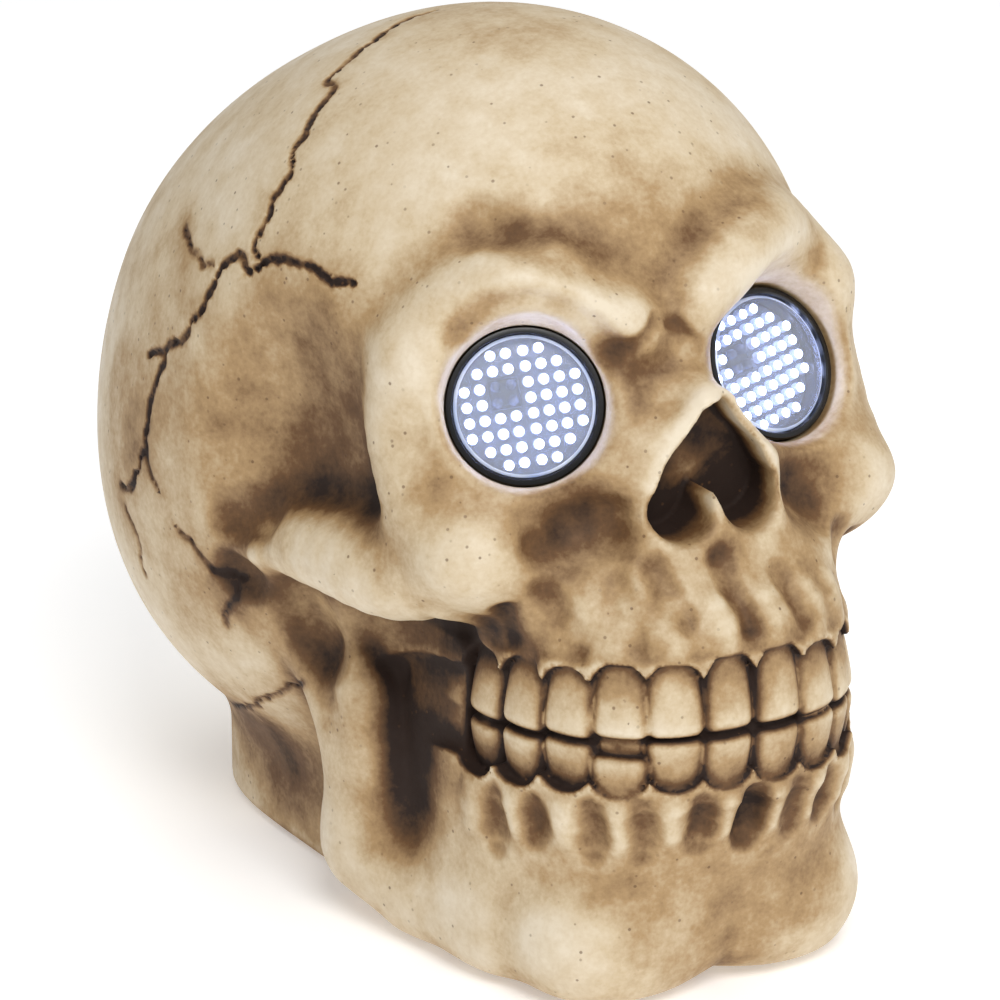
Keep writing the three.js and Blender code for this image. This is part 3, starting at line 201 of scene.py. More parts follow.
# Casting: the skull's bones as joined forms, mirrored about x = 0 except for the sockets
skull = {
    "voxel": 0.9,
    "quickVoxel": 1.5,
    "block": ((-88, -112, -3), (88, 152, 226)),
    "seed": 31,
    "triangles": 190000,
    "wall": 7.0,
    "floor": 1.5,
    "braincase": [((0, 50, 116), (80, 96, 82)), ((0, 28, 136), (73, 78, 79)), ((0, 2, 152), (67, 67, 66)),
                  ((0, 60, 82), (74, 78, 66))],
    "temple": ((88, -12, 128), (25, 30, 40)),
    "cheekBone": ((47, -58, 115), (20, 14, 13)),
    "upperJaw": ((0, -62, 108), (42, 26, 34)),
    "noseHollow": ((36, -79, 123), (14, 9.5, 9.5)),
    "chinKnob": ((28, -74, 17), (18, 16, 17)),
    "jawBranch": ((52, -5, 44), (7, 14, 30)),
    "mouthWall": ((0, -30, 60), (43, 50, 60)),
    "cheekWall": ((36, -24, 48), (11.5, 28, 36)),
    "browRight": [(-11.5, -64, 166.5, 6.2), (-20, -61, 171.5, 8.5), (-34, -53.5, 178, 10), (-46, -43, 172, 10),
                  (-55, -37, 159, 9)],
    "browLeft": [(3, -65.5, 165.5, 4.5), (9, -63.5, 171.5, 6.5), (22, -57, 177.5, 8), (36, -47, 178, 9),
                 (49, -36, 170, 8.5), (56, -37, 159, 9)],
    "cheekPost": [(56, -39, 158, 9), (59.5, -37, 142, 8), (57.5, -45, 124, 11)],
    "cheekArch": [(50, -54, 110, 10), (60, -37, 105, 12), (67, -14, 104, 9.8), (69, 6, 100.5, 7),
                  (66, 22, 96, 5)],
    "noseBridge": [(0, -54, 163.5, 3.5), (0, -62.6, 158.5, 3.0), (0, -68, 154.8, 2.8), (0, -81, 150.4, 2.2)],
    "noseSide": [(3, -82, 150, 2.6), (12, -78, 139, 4.5), (17, -75, 122, 7)],
    "noseCore": [(0, -51, 157, 9), (0, -60, 147, 10), (0, -66, 134, 12)],
    "noseSlope": [(2, -65, 153.5, 4.5), (5, -72, 147, 5), (11, -74, 138, 5.5)],
    "noseWall": [(-10, -60, 154, 6), (-14, -67, 143, 7.5), (-21, -70, 127, 8)],
    "innerLean": -0.78,
    "noseSlot": [(1.2, 147, 4.0), (6, 134, 7.2)],
    "noseLobe": (9.6, 126, 8.4),
    "noseBack": -70.0,
    "noseSkin": 2.4,
    "jawBody": [(0, -66, 18, 14), (18, -70, 16, 17.5), (31, -50, 15, 17), (41, -20, 15, 15), (47, -4, 19, 13)],
    "jawBack": [(48, -4, 22, 11), (54, -1, 48, 7), (61, 17, 80, 6.5)],
    "jawFront": [(47, -10, 26, 10), (55, -10, 58, 6), (58, -4, 84, 4)],
    "neckHalf": (47.15, 62.95),
    "mouthHalf": (33.15, 46.95),
    "plateHalf": (40.45, 54.25),
}
teeth = {
    "halfWidth": 50.5,
    "depth": 67.0,
    "back": -37.0,
    "power": 2.6,
    "bite": 74.2,
    "fall": 0.13,
    "tilt": 0.035,
    "widths": (14.3, 14.8, 14.9, 14.6, 14.8, 15.0, 11.5),
    "upperHeight": 20.0,
    "lowerHeight": 17.0,
    "gap": 0.1,
    "thickness": 9.0,
    "corner": 2.6,
    "scallop": 2.6,
    "upperGum": 18.4,
    "lowerGum": 13.6,
    "pocketGrow": 0.5,
    "pocketReach": 5.5,
    "spread": 16.0,  # half of the block that a crown is worked into
    "shortTooth": (-1, -1, 2),  # jaw, side and place in the row of the worn tooth
    "shortBy": 3.6,
}
routes = {name: eased(skull[name]) for name in (
    "browRight", "browLeft", "cheekPost", "cheekArch", "noseBridge", "noseSide", "noseCore", "noseSlope",
    "noseWall", "jawBack", "jawFront")}


def biteLine(x, y):
    return teeth["bite"] - teeth["fall"] * (y - teeth["back"] + teeth["depth"]) - teeth["tilt"] * x


def archForm(x, y, inset):
    return plan(x, y - teeth["back"], teeth["halfWidth"] - inset, teeth["depth"] - inset, teeth["power"])


def socketForm(p, side):
    u, v, w = inLamp(p, side)
    flare = np.clip((w - 2) / 12, 0, 1.2) * 3.2
    return np.maximum(np.sqrt(u * u + v * v) - lamp["bore"] - flare, -(w + lamp["depth"] + 0.6))


def boneForm(point):
    p = [np.abs(point[0]), point[1], point[2]]
    x, y, z = p
    field = egg(p, *skull["braincase"][0])
    for place in skull["braincase"][1:]:
        field = softMin(field, egg(p, *place), 26)
    field = softMax(field, -egg(p, *skull["temple"]), 16)
    for side in ("right", "left"):
        rim, shift = lamp[side]["rim"], lamp[side]["rimShift"]
        field = softMin(field, egg(inLamp(point, side), (shift, 0, -3), (rim - abs(shift), rim, 14)), 9)
    field = softMin(field, limb(p, routes["cheekPost"], 0.5), 9)
    field = softMin(field, egg(p, *skull["cheekBone"]), 10)
    field = softMin(field, limb(p, routes["cheekArch"], 0.5), 9)
    field = softMin(field, egg(p, *skull["upperJaw"]), 14)
    bite = biteLine(point[0], y)
    gum = np.maximum(archForm(x, y, 0.22 * np.clip(z - bite, 0, 40) - 0.8), bite + 13 - z)
    field = softMin(field, softMax(gum, z - 112 - 0.2 * (y + 104), 20), 8)
    for name, reach in (("noseBridge", 7), ("noseSide", 7), ("noseCore", 8), ("noseSlope", 5)):
        field = softMin(field, limb(p, routes[name], 0.5), reach)
    field = softMin(field, limb(point, routes["noseWall"], 0.5), 8)
    field = softMax(field, -egg(p, *skull["noseHollow"]), 9)
    u, v, w = inLamp(point, "left")  # this socket opens towards the nose
    across = u - skull["innerLean"] * w
    field = softMax(field, -np.maximum(np.sqrt(across * across + v * v) - lamp["housing"], 1 - w), 4)
    for name in ("browRight", "browLeft"):
        field = softMin(field, limb(point, routes[name], 0.5), 8)
    core = np.maximum(np.maximum(archForm(x, y, 4), np.abs(z - bite) - 18), y + 22)
    field = softMin(field, core, 3)
    lean = np.clip(bite - z, 0, 64) * 0.25
    ridge = np.maximum(archForm(x, y - lean, -0.6), z - bite + 9.5)
    ridge = softMax(softMax(ridge, y + 27, 18), 6 - z, 8)
    jaw = softMin(limb(p, skull["jawBody"], 8), ridge, 12)
    jaw = softMin(jaw, egg(p, *skull["chinKnob"]), 8)
    branch = softMin(limb(p, routes["jawBack"], 0.5), limb(p, routes["jawFront"], 0.5), 6)
    branch = softMin(branch, egg(p, *skull["jawBranch"]), 8)
    field = softMin(field, softMin(jaw, branch, 10), 3)
    field = softMin(field, egg(p, *skull["mouthWall"]), 6)  # behind the teeth
    field = softMin(field, egg(p, *skull["cheekWall"]), 8)  # before the jaw's branch
    neck = softMax(plan(x, y - neckY, *skull["neckHalf"], 3.5), z - 80, 20)
    field = softMin(field, neck, 10)
    return softMax(field, skull["floor"] - z, 3)


def openForm(point):
    p = [np.abs(point[0]), point[1], point[2]]
    field = boneForm(point)
    for side in ("right", "left"):
        field = softMax(field, -socketForm(point, side), 3)
    flat = [p[0], 0 * p[1], p[2]]
    (topX, topZ, topR), (lowX, lowZ, lowR) = skull["noseSlot"]
    lobeX, lobeZ, lobeR = skull["noseLobe"]
    nose = limb(flat, [(topX, 0, topZ, topR), (lowX, 0, lowZ, lowR), (lobeX, 0, lobeZ, lobeR)], 3)
    front = -81 + 0.2 * (150 - p[2])  # thin wall left between the nose and the left socket
    tube = np.maximum(np.maximum(nose - skull["noseSkin"], front - p[1]), p[1] + 60)
    field = softMin(field, tube, 2)
    return softMax(field, -np.maximum(nose, p[1] - skull["noseBack"]), 2)


def hollowForm(point, outside):
    y, z = point[1], point[2]
    place = np.maximum(np.minimum(90 - z, -22 - y), -42 - y)
    return np.maximum(np.maximum(outside + skull["wall"], place), 17 - z)


def shellForm(point):
    outside = openForm(point)
    x, y, z = point
    inside = hollowForm(point, outside)
    mouth = np.maximum(plan(x, y - neckY, *skull["mouthHalf"], 5), z - 37)
    rebate = np.maximum(plan(x, y - neckY, *skull["plateHalf"], 6), z - 5.3)
    for side in ("right", "left"):  # the lamps' leads go back into the hollow
        u, v, w = inLamp(point, side)
        bore = np.maximum(np.maximum(np.sqrt(u * u + v * v) - 4, w + 12), -w - 33)
        inside = np.minimum(inside, bore)
    return np.maximum(outside, -np.minimum(np.minimum(inside, mouth), rebate))


class Clay:
    # A block of sampled distances that forms can be pressed into or added to
    def __init__(self, low, high, step, form):
        self.low, self.step = np.array(low, float), step
        block = 4
        blocks = np.ceil((np.array(high) - self.low) / (step * block)).astype(int)
        coarse = self.sample(form, [np.arange(n + 1) * block for n in blocks])
        values = coarse
        for axis in range(3):
            first, second = np.delete(values, -1, axis), np.delete(values, 0, axis)
            parts = [first + (second - first) * (j / block) for j in range(block)]
            shape = list(first.shape)
            shape[axis] *= block
            between = np.stack(parts, axis + 1).reshape(shape)
            values = np.concatenate([between, np.take(values, [-1], axis)], axis)
        self.values = values.astype(np.float32)
        near = np.full(tuple(blocks), np.inf, np.float32)
        for a, b, c in np.ndindex(2, 2, 2):
            corner = coarse[a:blocks[0] + a, b:blocks[1] + b, c:blocks[2] + c]
            near = np.minimum(near, np.abs(corner))
        spots = np.argwhere(near < 1.15 * block * step)
        local = np.stack(np.meshgrid(*[np.arange(block + 1)] * 3, indexing="ij"), -1).reshape(-1, 3)
        jobs = np.array_split(spots, max(1, len(spots) // 250))

        def fill(job):
            cells = (job[:, None, :] * block + local[None]).reshape(-1, 3)
            point = [(self.low[i] + cells[:, i] * step).astype(np.float32) for i in range(3)]
            self.values[cells[:, 0], cells[:, 1], cells[:, 2]] = form(point)

        with ThreadPoolExecutor(4) as pool:
            list(pool.map(fill, jobs))

    def sample(self, form, lines):
        axes = [(self.low[i] + lines[i] * self.step).astype(np.float32) for i in range(3)]
        x, y, z = np.meshgrid(*axes, indexing="ij")
        return form([x, y, z]).astype(np.float32)

    def press(self, low, high, change):
        first = np.maximum(np.floor((np.array(low) - self.low) / self.step).astype(int), 0)
        last = np.minimum(np.ceil((np.array(high) - self.low) / self.step).astype(int) + 1, self.values.shape)
        if np.any(last <= first):
            return
        part = tuple(slice(a, b) for a, b in zip(first, last))
        axes = [(self.low[i] + np.arange(first[i], last[i]) * self.step).astype(np.float32) for i in range(3)]
        x, y, z = np.meshgrid(*axes, indexing="ij")
        self.values[part] = change(self.values[part], [x, y, z])

    def at(self, points):
        place = (np.asarray(points) - self.low) / self.step
        place = np.clip(place, 0, np.array(self.values.shape) - 1.001)
        cell = place.astype(int)
        t = place - cell
        total = 0.0
        for a, b, c in np.ndindex(2, 2, 2):
            weight = np.abs(1 - a - t[:, 0]) * np.abs(1 - b - t[:, 1]) * np.abs(1 - c - t[:, 2])
            total = total + weight * self.values[cell[:, 0] + a, cell[:, 1] + b, cell[:, 2] + c]
        return total

    def facing(self, points):
        points = np.asarray(points, float)
        h = self.step
        slope = [self.at(points + h * d) - self.at(points - h * d) for d in np.eye(3)]
        slope = np.stack(slope, 1)
        return slope / (np.linalg.norm(slope, axis=1)[:, None] + 1e-9)

    def trace(self, start, rays):
        run = np.zeros(len(rays))
        for turn in range(160):
            run += np.clip(self.at(start + rays * run[:, None]), -2, 12) * 0.85
        return start + rays * run[:, None]

    def struck(self, pixels):
        rays = photoRays(pixels)
        return self.trace(camPlace + rays * (camera["distance"] - 200.0), rays)

    def surface(self):
        values = self.values
        inside = values < 0
        n = np.array(values.shape) - 1
        total = np.zeros(tuple(n), np.uint8)
        for a, b, c in np.ndindex(2, 2, 2):
            total += inside[a:n[0] + a, b:n[1] + b, c:n[2] + c]
        active = (total > 0) & (total < 8)
        cells = np.argwhere(active)
        index = np.full(tuple(n), -1, np.int32)
        index[active] = np.arange(len(cells))
        spots, count = np.zeros((len(cells), 3)), np.zeros(len(cells))
        unit = np.eye(3, dtype=int)
        for axis in range(3):
            for s, r in np.ndindex(2, 2):
                start = s * unit[(axis + 1) % 3] + r * unit[(axis + 2) % 3]
                a, b = cells + start, cells + start + unit[axis]
                va = values[a[:, 0], a[:, 1], a[:, 2]]
                vb = values[b[:, 0], b[:, 1], b[:, 2]]
                cross = (va < 0) != (vb < 0)
                t = va[cross] / (va[cross] - vb[cross])
                spots[cross] += a[cross] + t[:, None] * unit[axis]
                count += cross
        points = self.low + self.step * spots / count[:, None]
        quads = []
        for axis in range(3):
            first = np.take(inside, range(n[axis]), axis)
            second = np.take(inside, range(1, n[axis] + 1), axis)
            edges = np.argwhere(first != second)
            s, r = unit[(axis + 1) % 3], unit[(axis + 2) % 3]
            out = first[edges[:, 0], edges[:, 1], edges[:, 2]]
            ring = [edges, edges - s, edges - s - r, edges - r]
            quad = np.stack([index[tuple(cell.T)] for cell in ring], 1)
            quads.append(np.where(out[:, None], quad, quad[:, ::-1]))
        return points, np.concatenate(quads)


step = skull["voxel"]
clay = Clay(*skull["block"], step, shellForm)
print("casting sampled at", step, "mm:", clay.values.shape)
dice = np.random.default_rng(skull["seed"])


def stroke(points, radius, depth, soft, raised=False, tips=1.0):
    points = np.asarray(points, float)
    away = -1.0 if raised else 1.0
    place = np.linspace(-1, 1, len(points))
    size = radius * (tips + (1 - tips) * (1 - place ** 2))
    centres = points + clay.facing(points) * (away * size * (1 - depth / radius))[:, None]
    route = [(*c, r) for c, r in zip(centres, size)]
    if len(route) == 1:
        route.append(route[0])
    reach = radius + soft + 3 * step
    blend = softMin if raised else softMax
    clay.press(centres.min(0) - reach, centres.max(0) + reach,
               lambda field, p: blend(field, -away * limb(p, route, 1), soft))


def mirrored(points):
    return np.asarray(points) * (-1, 1, 1)


# Modelled hollows and folds, drawn over the photograph: route, radius, depth, softness,
# then whether both sides have it
hollows = {
    "browCrease": ([(478, 222), (505, 240), (540, 253), (580, 269), (612, 280)], 7, 1.2, 5, False),
    "browHook": ([(657, 318), (648, 337), (632, 346), (608, 350)], 1.6, 0.9, 2, False),
    "browHookRight": ([(673, 322), (686, 337), (698, 345)], 1.6, 0.8, 2, False),
    "socketBand": ([(462, 332), (488, 310), (526, 301), (564, 309), (590, 326), (603, 347)], 5, 2.0, 3, False),
    "canineHollow": ([(534, 548), (560, 529), (588, 517), (610, 512)], 5, 1.0, 3, False),
    "canineHollowFar": ([(788, 482), (803, 500), (818, 520)], 5, 0.8, 3, False),
    "rootA": ([(466, 627), (477, 650), (487, 664)], 3.2, 1.6, 2.5, True),
    "rootB": ([(507, 612), (518, 638), (525, 660)], 3.6, 1.9, 2.5, True),
    "rootC": ([(546, 596), (565, 618), (574, 648)], 4.0, 2.0, 2.5, True),
    "rootD": ([(614, 584), (622, 615), (630, 646)], 4.2, 1.4, 3, False),
    "rootE": ([(656, 569), (668, 594), (683, 621)], 3.6, 1.9, 2.5, False),
    "rootF": ([(721, 560), (734, 594), (750, 624)], 3.6, 1.8, 2.5, False),
    "rootG": ([(780, 572), (795, 594), (809, 618)], 3.4, 1.4, 2.5, False),
    "earPit": ([(232, 572), (246, 580)], 6, 4.0, 4, True),
    "archRoot": ([(236, 522), (262, 520)], 7, 2.6, 5, True),
    "jawNotch": ([(300, 604), (318, 636)], 9, 4.0, 5, True),
}
bulges = {
    "earNub": ([(252, 552), (258, 554)], 2.4, 0.9, 2, True),
}
for forms, raised in ((hollows, False), (bulges, True)):
    for route, radius, depth, soft, both in forms.values():
        points = clay.struck(route)
        stroke(points, radius, depth, soft, raised)
        if both:
            stroke(mirrored(points), radius, depth, soft, raised)
print("hollows and folds modelled:", len(hollows) + len(bulges))

# Teeth: a row of rounded crowns along the arch, each in a pocket of the gum
sweep = np.linspace(0, 0.495 * math.pi, 600)
archX = teeth["halfWidth"] * np.sin(sweep) ** (2 / teeth["power"])
archY = teeth["back"] - teeth["depth"] * np.cos(sweep) ** (2 / teeth["power"])
archX, archY = np.append(archX, archX[-1]), np.append(archY, archY[-1] + 25)
archRun = np.concatenate([[0], np.cumsum(np.hypot(np.diff(archX), np.diff(archY)))])


def onArch(run):
    run = max(run, 0.0)
    x, y = np.interp(run, archRun, archX), np.interp(run, archRun, archY)
    ahead = np.interp(run + 1, archRun, archX) - x, np.interp(run + 1, archRun, archY) - y
    size = math.hypot(*ahead)
    return x, y, ahead[0] / size, ahead[1] / size


def crownForm(p, tooth, height, grow, scallop=0.0, reach=0.0):
    x, y, tx, ty = tooth["place"]
    dx, dy = p[0] * tooth["side"] - x, p[1] - y
    h = (p[2] - tooth["bite"]) * tooth["up"]
    across = dx * tx + dy * ty + tooth["turn"] * h
    out = dx * ty - dy * tx + 0.22 * h
    t = np.clip(h / height, 0, 1)
    halfWidth = tooth["width"] / 2 * (1 - 0.13 * t * t)
    h = h + scallop * (across / halfWidth) ** 2
    bulge = 1.1 * np.sin(np.pi * np.clip(0.15 + 0.75 * t, 0, 1))
    front = bulge - 1.5 + tooth["proud"] - 0.03 * across * across + reach
    corner, deep = teeth["corner"], teeth["thickness"] / 2
    q = [np.abs(across) - halfWidth + corner, np.abs(out - front + deep) - deep + corner,
         np.abs(h - height / 2) - height / 2 + corner]
    outside = np.sqrt(sum(np.maximum(v, 0) ** 2 for v in q))
    return outside + np.minimum(np.maximum(np.maximum(q[0], q[1]), q[2]), 0) - corner - grow


def crownMiddle(tooth):
    x, y = tooth["place"][:2]
    return np.array([x * tooth["side"], y, tooth["bite"] + tooth["up"] * tooth["height"] / 2])


crowns = []
for up in (1, -1):
    jaw = "upper" if up > 0 else "lower"
    for side in (1, -1):
        run = 0.0
        for i, width in enumerate(teeth["widths"]):
            x, y, tx, ty = onArch(run + width / 2)
            short = teeth["shortBy"] if (up, side, i) == teeth["shortTooth"] else 0.0
            crowns.append({
                "place": (x, y, tx, ty), "side": side, "up": up, "run": run, "index": i,
                "bite": biteLine(x * side, y) + up * (0.15 + short + dice.uniform(0, 0.6)),
                "width": width - teeth["gap"] - dice.uniform(0, 0.5),
                "gumLine": teeth[jaw + "Gum"] - short - 0.25 * i + dice.uniform(-0.8, 0.8),
                "height": teeth[jaw + "Height"] - short,
                "turn": dice.uniform(-0.03, 0.03),
                "proud": dice.uniform(-0.5, 0.5) - 0.2 * i,
            })
            run += width
for tooth in crowns:
    if tooth["index"] == len(teeth["widths"]) - 1:  # the last one of a row stands in the wall
        continue
    middle, size = crownMiddle(tooth), teeth["spread"]
    clay.press(middle - size, middle + size, lambda field, p, tooth=tooth: softMax(
        field, -crownForm(p, tooth, tooth["gumLine"], teeth["pocketGrow"], teeth["scallop"],
                          teeth["pocketReach"]), 1.0))
for tooth in crowns:
    middle, size = crownMiddle(tooth), teeth["spread"]
    clay.press(middle - size, middle + size, lambda field, p, tooth=tooth: np.minimum(
        field, crownForm(p, tooth, tooth["height"] + 2, 0.0)))
print("teeth set:", len(crowns))


# Roots: a furrow between each two lower roots and a low ridge over each root, on both jaws
roots = {
    "upperRise": (22, 26, 30),
    "lowerRise": (0, 4, 8, 12),
    "lowerStart": 18,
    "furrow": {"radius": 4.4, "soft": 3.2, "tips": 0.5},
    "ridge": {"radius": 4.6, "depth": 0.8, "soft": 3.4, "tips": 0.6},
    "perSide": 6,
}


def onGum(run, side, up, rise):
    x, y, tx, ty = onArch(run)
    count = len(rise)
    start = np.stack([np.full(count, (x + 14 * ty) * side), np.full(count, y - 14 * tx),
                      biteLine(x * side, y) + up * np.asarray(rise, float)], 1)
    rays = np.tile([-ty * side, tx, 0.0], (count, 1))
    return clay.trace(start, rays)


for tooth in crowns:
    if tooth["index"] >= roots["perSide"]:
        continue
    up, side = tooth["up"], tooth["side"]
    rise = np.array(roots["upperRise"])
    if up < 0:
        rise = roots["lowerStart"] + np.array(roots["lowerRise"]) * dice.uniform(0.75, 1.1)
        furrow = onGum(tooth["run"] + 0.2 + dice.uniform(-1.5, 1.5), side, up, rise)
        stroke(furrow, depth=dice.uniform(1.5, 3.1), **roots["furrow"])
    ridge = onGum(tooth["run"] + tooth["width"] / 2, side, up, rise[:3])
    stroke(ridge, raised=True, **roots["ridge"])
print("roots modelled")

# Cracks in the cast bone, drawn over the photograph and then roughened
cracks = {
    "width": 0.45,
    "depth": 0.9,
    "roughness": 0.5,
    "spacing": 0.9,
    "drift": 1.2,  # how far the far side's cracks stray from a mirror of the near ones
    "fineShare": (0.65, 0.6),
    "seamShare": 0.7,
    "routes": [
        [(437, 10), (409, 18), (382, 34), (363, 48), (350, 60), (331, 75), (326, 82), (334, 93), (317, 110),
         (308, 125), (297, 143), (292, 153), (292, 173), (284, 184), (274, 196), (271, 212), (262, 230),
         (257, 245), (259, 268)],
        [(259, 270), (248, 269), (236, 255), (225, 265), (218, 278), (208, 293), (202, 309), (192, 319),
         (185, 339), (167, 349), (146, 356)],
        [(167, 349), (161, 366), (154, 388), (147, 413), (145, 444), (139, 469), (131, 489), (119, 489)],
        [(259, 268), (274, 258), (297, 261), (315, 272), (340, 281), (358, 283)],
    ],
    "fineRoutes": [
        [(185, 224), (190, 245), (200, 260), (213, 269)],
        [(125, 503), (132, 523), (138, 542), (145, 579)],
        [(147, 447), (154, 478), (159, 492)],
        [(177, 527), (192, 544), (209, 565), (223, 575), (237, 573), (248, 580)],
        [(240, 587), (237, 601), (226, 615), (230, 629)],
        [(232, 704), (256, 703), (284, 689), (307, 681)],
    ],
    # seams over the back, as directions from the middle of the braincase
    "seamMiddle": (0, 50, 116),
    "seamStart": 125.0,
    "seams": [
        [(0, 0.0, 1), (0.03, 0.3, 0.95), (-0.02, 0.55, 0.83), (0.03, 0.75, 0.66), (-0.02, 0.88, 0.47),
         (0.01, 0.95, 0.3)],
        [(0.01, 0.95, 0.3), (0.16, 0.95, 0.24), (0.3, 0.92, 0.12), (0.46, 0.86, 0.02), (0.58, 0.79, -0.16),
         (0.66, 0.7, -0.3)],
        [(0.01, 0.95, 0.3), (-0.15, 0.95, 0.2), (-0.33, 0.92, 0.14), (-0.45, 0.87, -0.02), (-0.6, 0.78, -0.14),
         (-0.67, 0.7, -0.31)],
    ],
}
crackPoints = []


def crack(points, width, depth):
    points = np.asarray(points, float)
    run = np.concatenate([[0], np.cumsum(np.linalg.norm(np.diff(points, axis=0), axis=1))])
    spots = np.arange(0, run[-1], cracks["spacing"])
    fine = np.stack([np.interp(spots, run, points[:, i]) for i in range(3)], 1)
    wander = dice.normal(0, 1, (len(spots) + 8, 3))
    wander = sum(wander[i:len(spots) + i] for i in range(4)) / 2.0
    fine += wander * cracks["roughness"]
    fine -= clay.facing(fine) * clay.at(fine)[:, None]
    crackPoints.extend(fine)
    for a in range(0, len(fine) - 1, 6):
        part = fine[a:a + 7]
        stroke(part, width * dice.uniform(0.6, 1.3), depth * dice.uniform(0.7, 1.2), 0.5)


for key, (thin, shallow) in (("routes", (1.0, 1.0)), ("fineRoutes", cracks["fineShare"])):
    for route in cracks[key]:
        points = clay.struck(route)
        crack(points, thin * cracks["width"], shallow * cracks["depth"])
        strayed = mirrored(points) + dice.normal(0, cracks["drift"], points.shape)
        crack(strayed, thin * cracks["width"], shallow * cracks["depth"])
for seam in cracks["seams"]:
    ways = np.array(seam) / np.linalg.norm(seam, axis=1)[:, None]
    points = clay.trace(np.array(cracks["seamMiddle"]) + cracks["seamStart"] * ways, -ways)
    crack(points, cracks["seamShare"] * cracks["width"], cracks["seamShare"] * cracks["depth"])
print("cracks cut:", len(crackPoints), "points")

points, quads = clay.surface()
print("surface:", len(points), "points,", len(quads), "faces")


def meshOf(name, points, faces):
    mesh = bpy.data.meshes.new(name)
    faces = np.asarray(faces)
    mesh.vertices.add(len(points))
    mesh.vertices.foreach_set("co", np.asarray(points, np.float32).ravel())
    sides = faces.shape[1]
    mesh.loops.add(faces.size)
    mesh.loops.foreach_set("vertex_index", faces.astype(np.int32).ravel())
    mesh.polygons.add(len(faces))
    mesh.polygons.foreach_set("loop_start", np.arange(0, faces.size, sides, dtype=np.int32))
    mesh.update(calc_edges=True)
    mesh.validate()
    return mesh


def largestIsland(points, faces):
    label = np.arange(len(points))
    for turn in range(400):
        low = label[faces].min(1)
        before = label.copy()
        for corner in range(faces.shape[1]):
            np.minimum.at(label, faces[:, corner], low)
        label = label[label]
        if np.array_equal(before, label):
            break
    kept = np.bincount(label).argmax()
    keep = label == kept
    number = np.cumsum(keep) - 1
    return points[keep], number[faces[keep[faces[:, 0]]]]


points, quads = largestIsland(points, quads)
rawMesh = meshOf("skullCasting", toRow(points), quads)
raw = bpy.data.objects.new("skullRaw", rawMesh)
bpy.context.scene.collection.objects.link(raw)


def evaluatedMesh(source, name):
    mesh = bpy.data.meshes.new_from_object(source.evaluated_get(bpy.context.evaluated_depsgraph_get()))
    mesh.name = name
    return mesh


def addPiece(name, mesh, body, slotName, *nodes):
    piece = bpy.data.objects.new(name, mesh)
    bpy.context.scene.collection.objects.link(piece)
    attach(piece, body)
    if nodes:
        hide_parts(*nodes)
    return piece


thin = raw.modifiers.new("thin", "DECIMATE")
thin.ratio = min(1.0, skull["triangles"] / (2.0 * len(quads)))
thin.use_collapse_triangulate = True
castMesh = evaluatedMesh(raw, "skullCasting")
bpy.data.objects.remove(raw)
castMesh.polygons.foreach_set("use_smooth", np.ones(len(castMesh.polygons), bool))
print("casting thinned to", len(castMesh.polygons), "triangles")

# Soft brown spray, and painted shade sprayed into recesses, placed over the photograph: pixel, radius in
# millimetres, strength
airbrush = [
    (340, 400, 20, 0.9), (315, 325, 14, 0.7), (262, 420, 20, 0.6), (330, 470, 12, 0.6), (505, 238, 6, 0.3),
    (585, 266, 6, 0.4), (245, 525, 9, 0.8), (238, 585, 11, 0.8), (300, 640, 12, 0.8),
    (270, 745, 22, 1.2), (310, 800, 16, 1.1), (405, 700, 16, 0.6), (425, 785, 13, 0.7), (350, 740, 12, 0.4),
    (575, 535, 9, 0.4), (805, 500, 8, 0.4), (760, 205, 9, 0.7), (690, 235, 14, 0.3), (640, 945, 12, 0.5),
    (470, 900, 14, 0.2), (622, 352, 4, 0.8), (640, 402, 4, 0.7), (180, 260, 16, 0.5), (130, 420, 16, 0.5),
    (200, 600, 14, 0.6), (520, 640, 10, 0.5), (470, 640, 9, 0.7), (720, 545, 7, 0.5), (625, 200, 16, 0.3),
    (668, 395, 8, -0.8), (690, 350, 4, -0.6), (600, 320, 7, -0.5), (700, 440, 6, -0.6), (530, 310, 9, -0.4),
    (440, 685, 10, 1.2), (440, 735, 10, 1.2), (455, 660, 7, 1.0), (460, 775, 9, 0.6), (500, 765, 6, 0.5),
    (560, 770, 6, 0.4), (625, 780, 6, 0.4), (700, 770, 6, 0.3), (780, 755, 6, 0.4), (660, 292, 4, -0.7),
    (600, 600, 12, -0.5), (690, 590, 10, -0.4), (765, 585, 9, -0.4), (440, 885, 16, -0.4), (560, 905, 14, -0.3),
]

# Brown wash and painted shade for the recesses: how much of the space near each point is taken up by the
# casting, close by and further out
spots = np.empty(len(castMesh.vertices) * 3, np.float32)
castMesh.vertices.foreach_get("co", spots)
spots = spots.reshape(-1, 3).astype(float) * 1000.0 + (0, castShift, 0)
facing = clay.facing(spots)
side = np.cross(facing, np.where(np.abs(facing[:, 2:]) < 0.9, (0, 0, 1.0), (1.0, 0, 0)))
side /= np.linalg.norm(side, axis=1)[:, None]
front = np.cross(facing, side)


def washAndShadeAmount(reach):
    total = np.zeros(len(spots))
    fan = [(0.0, 0.0)] + [(0.9, 60.0 * i) for i in range(6)]
    for lean, turn in fan:
        turn = math.radians(turn)
        way = facing * math.cos(lean) + (side * math.cos(turn) + front * math.sin(turn)) * math.sin(lean)
        total += np.clip(1 - clay.at(spots + way * reach) / (reach * math.cos(lean)), 0, 1.6)
    return total / len(fan)


def setAttribute(mesh, name, values):
    layer = mesh.attributes.new(name, "FLOAT", "POINT")
    layer.data.foreach_set("value", np.asarray(values, np.float32))


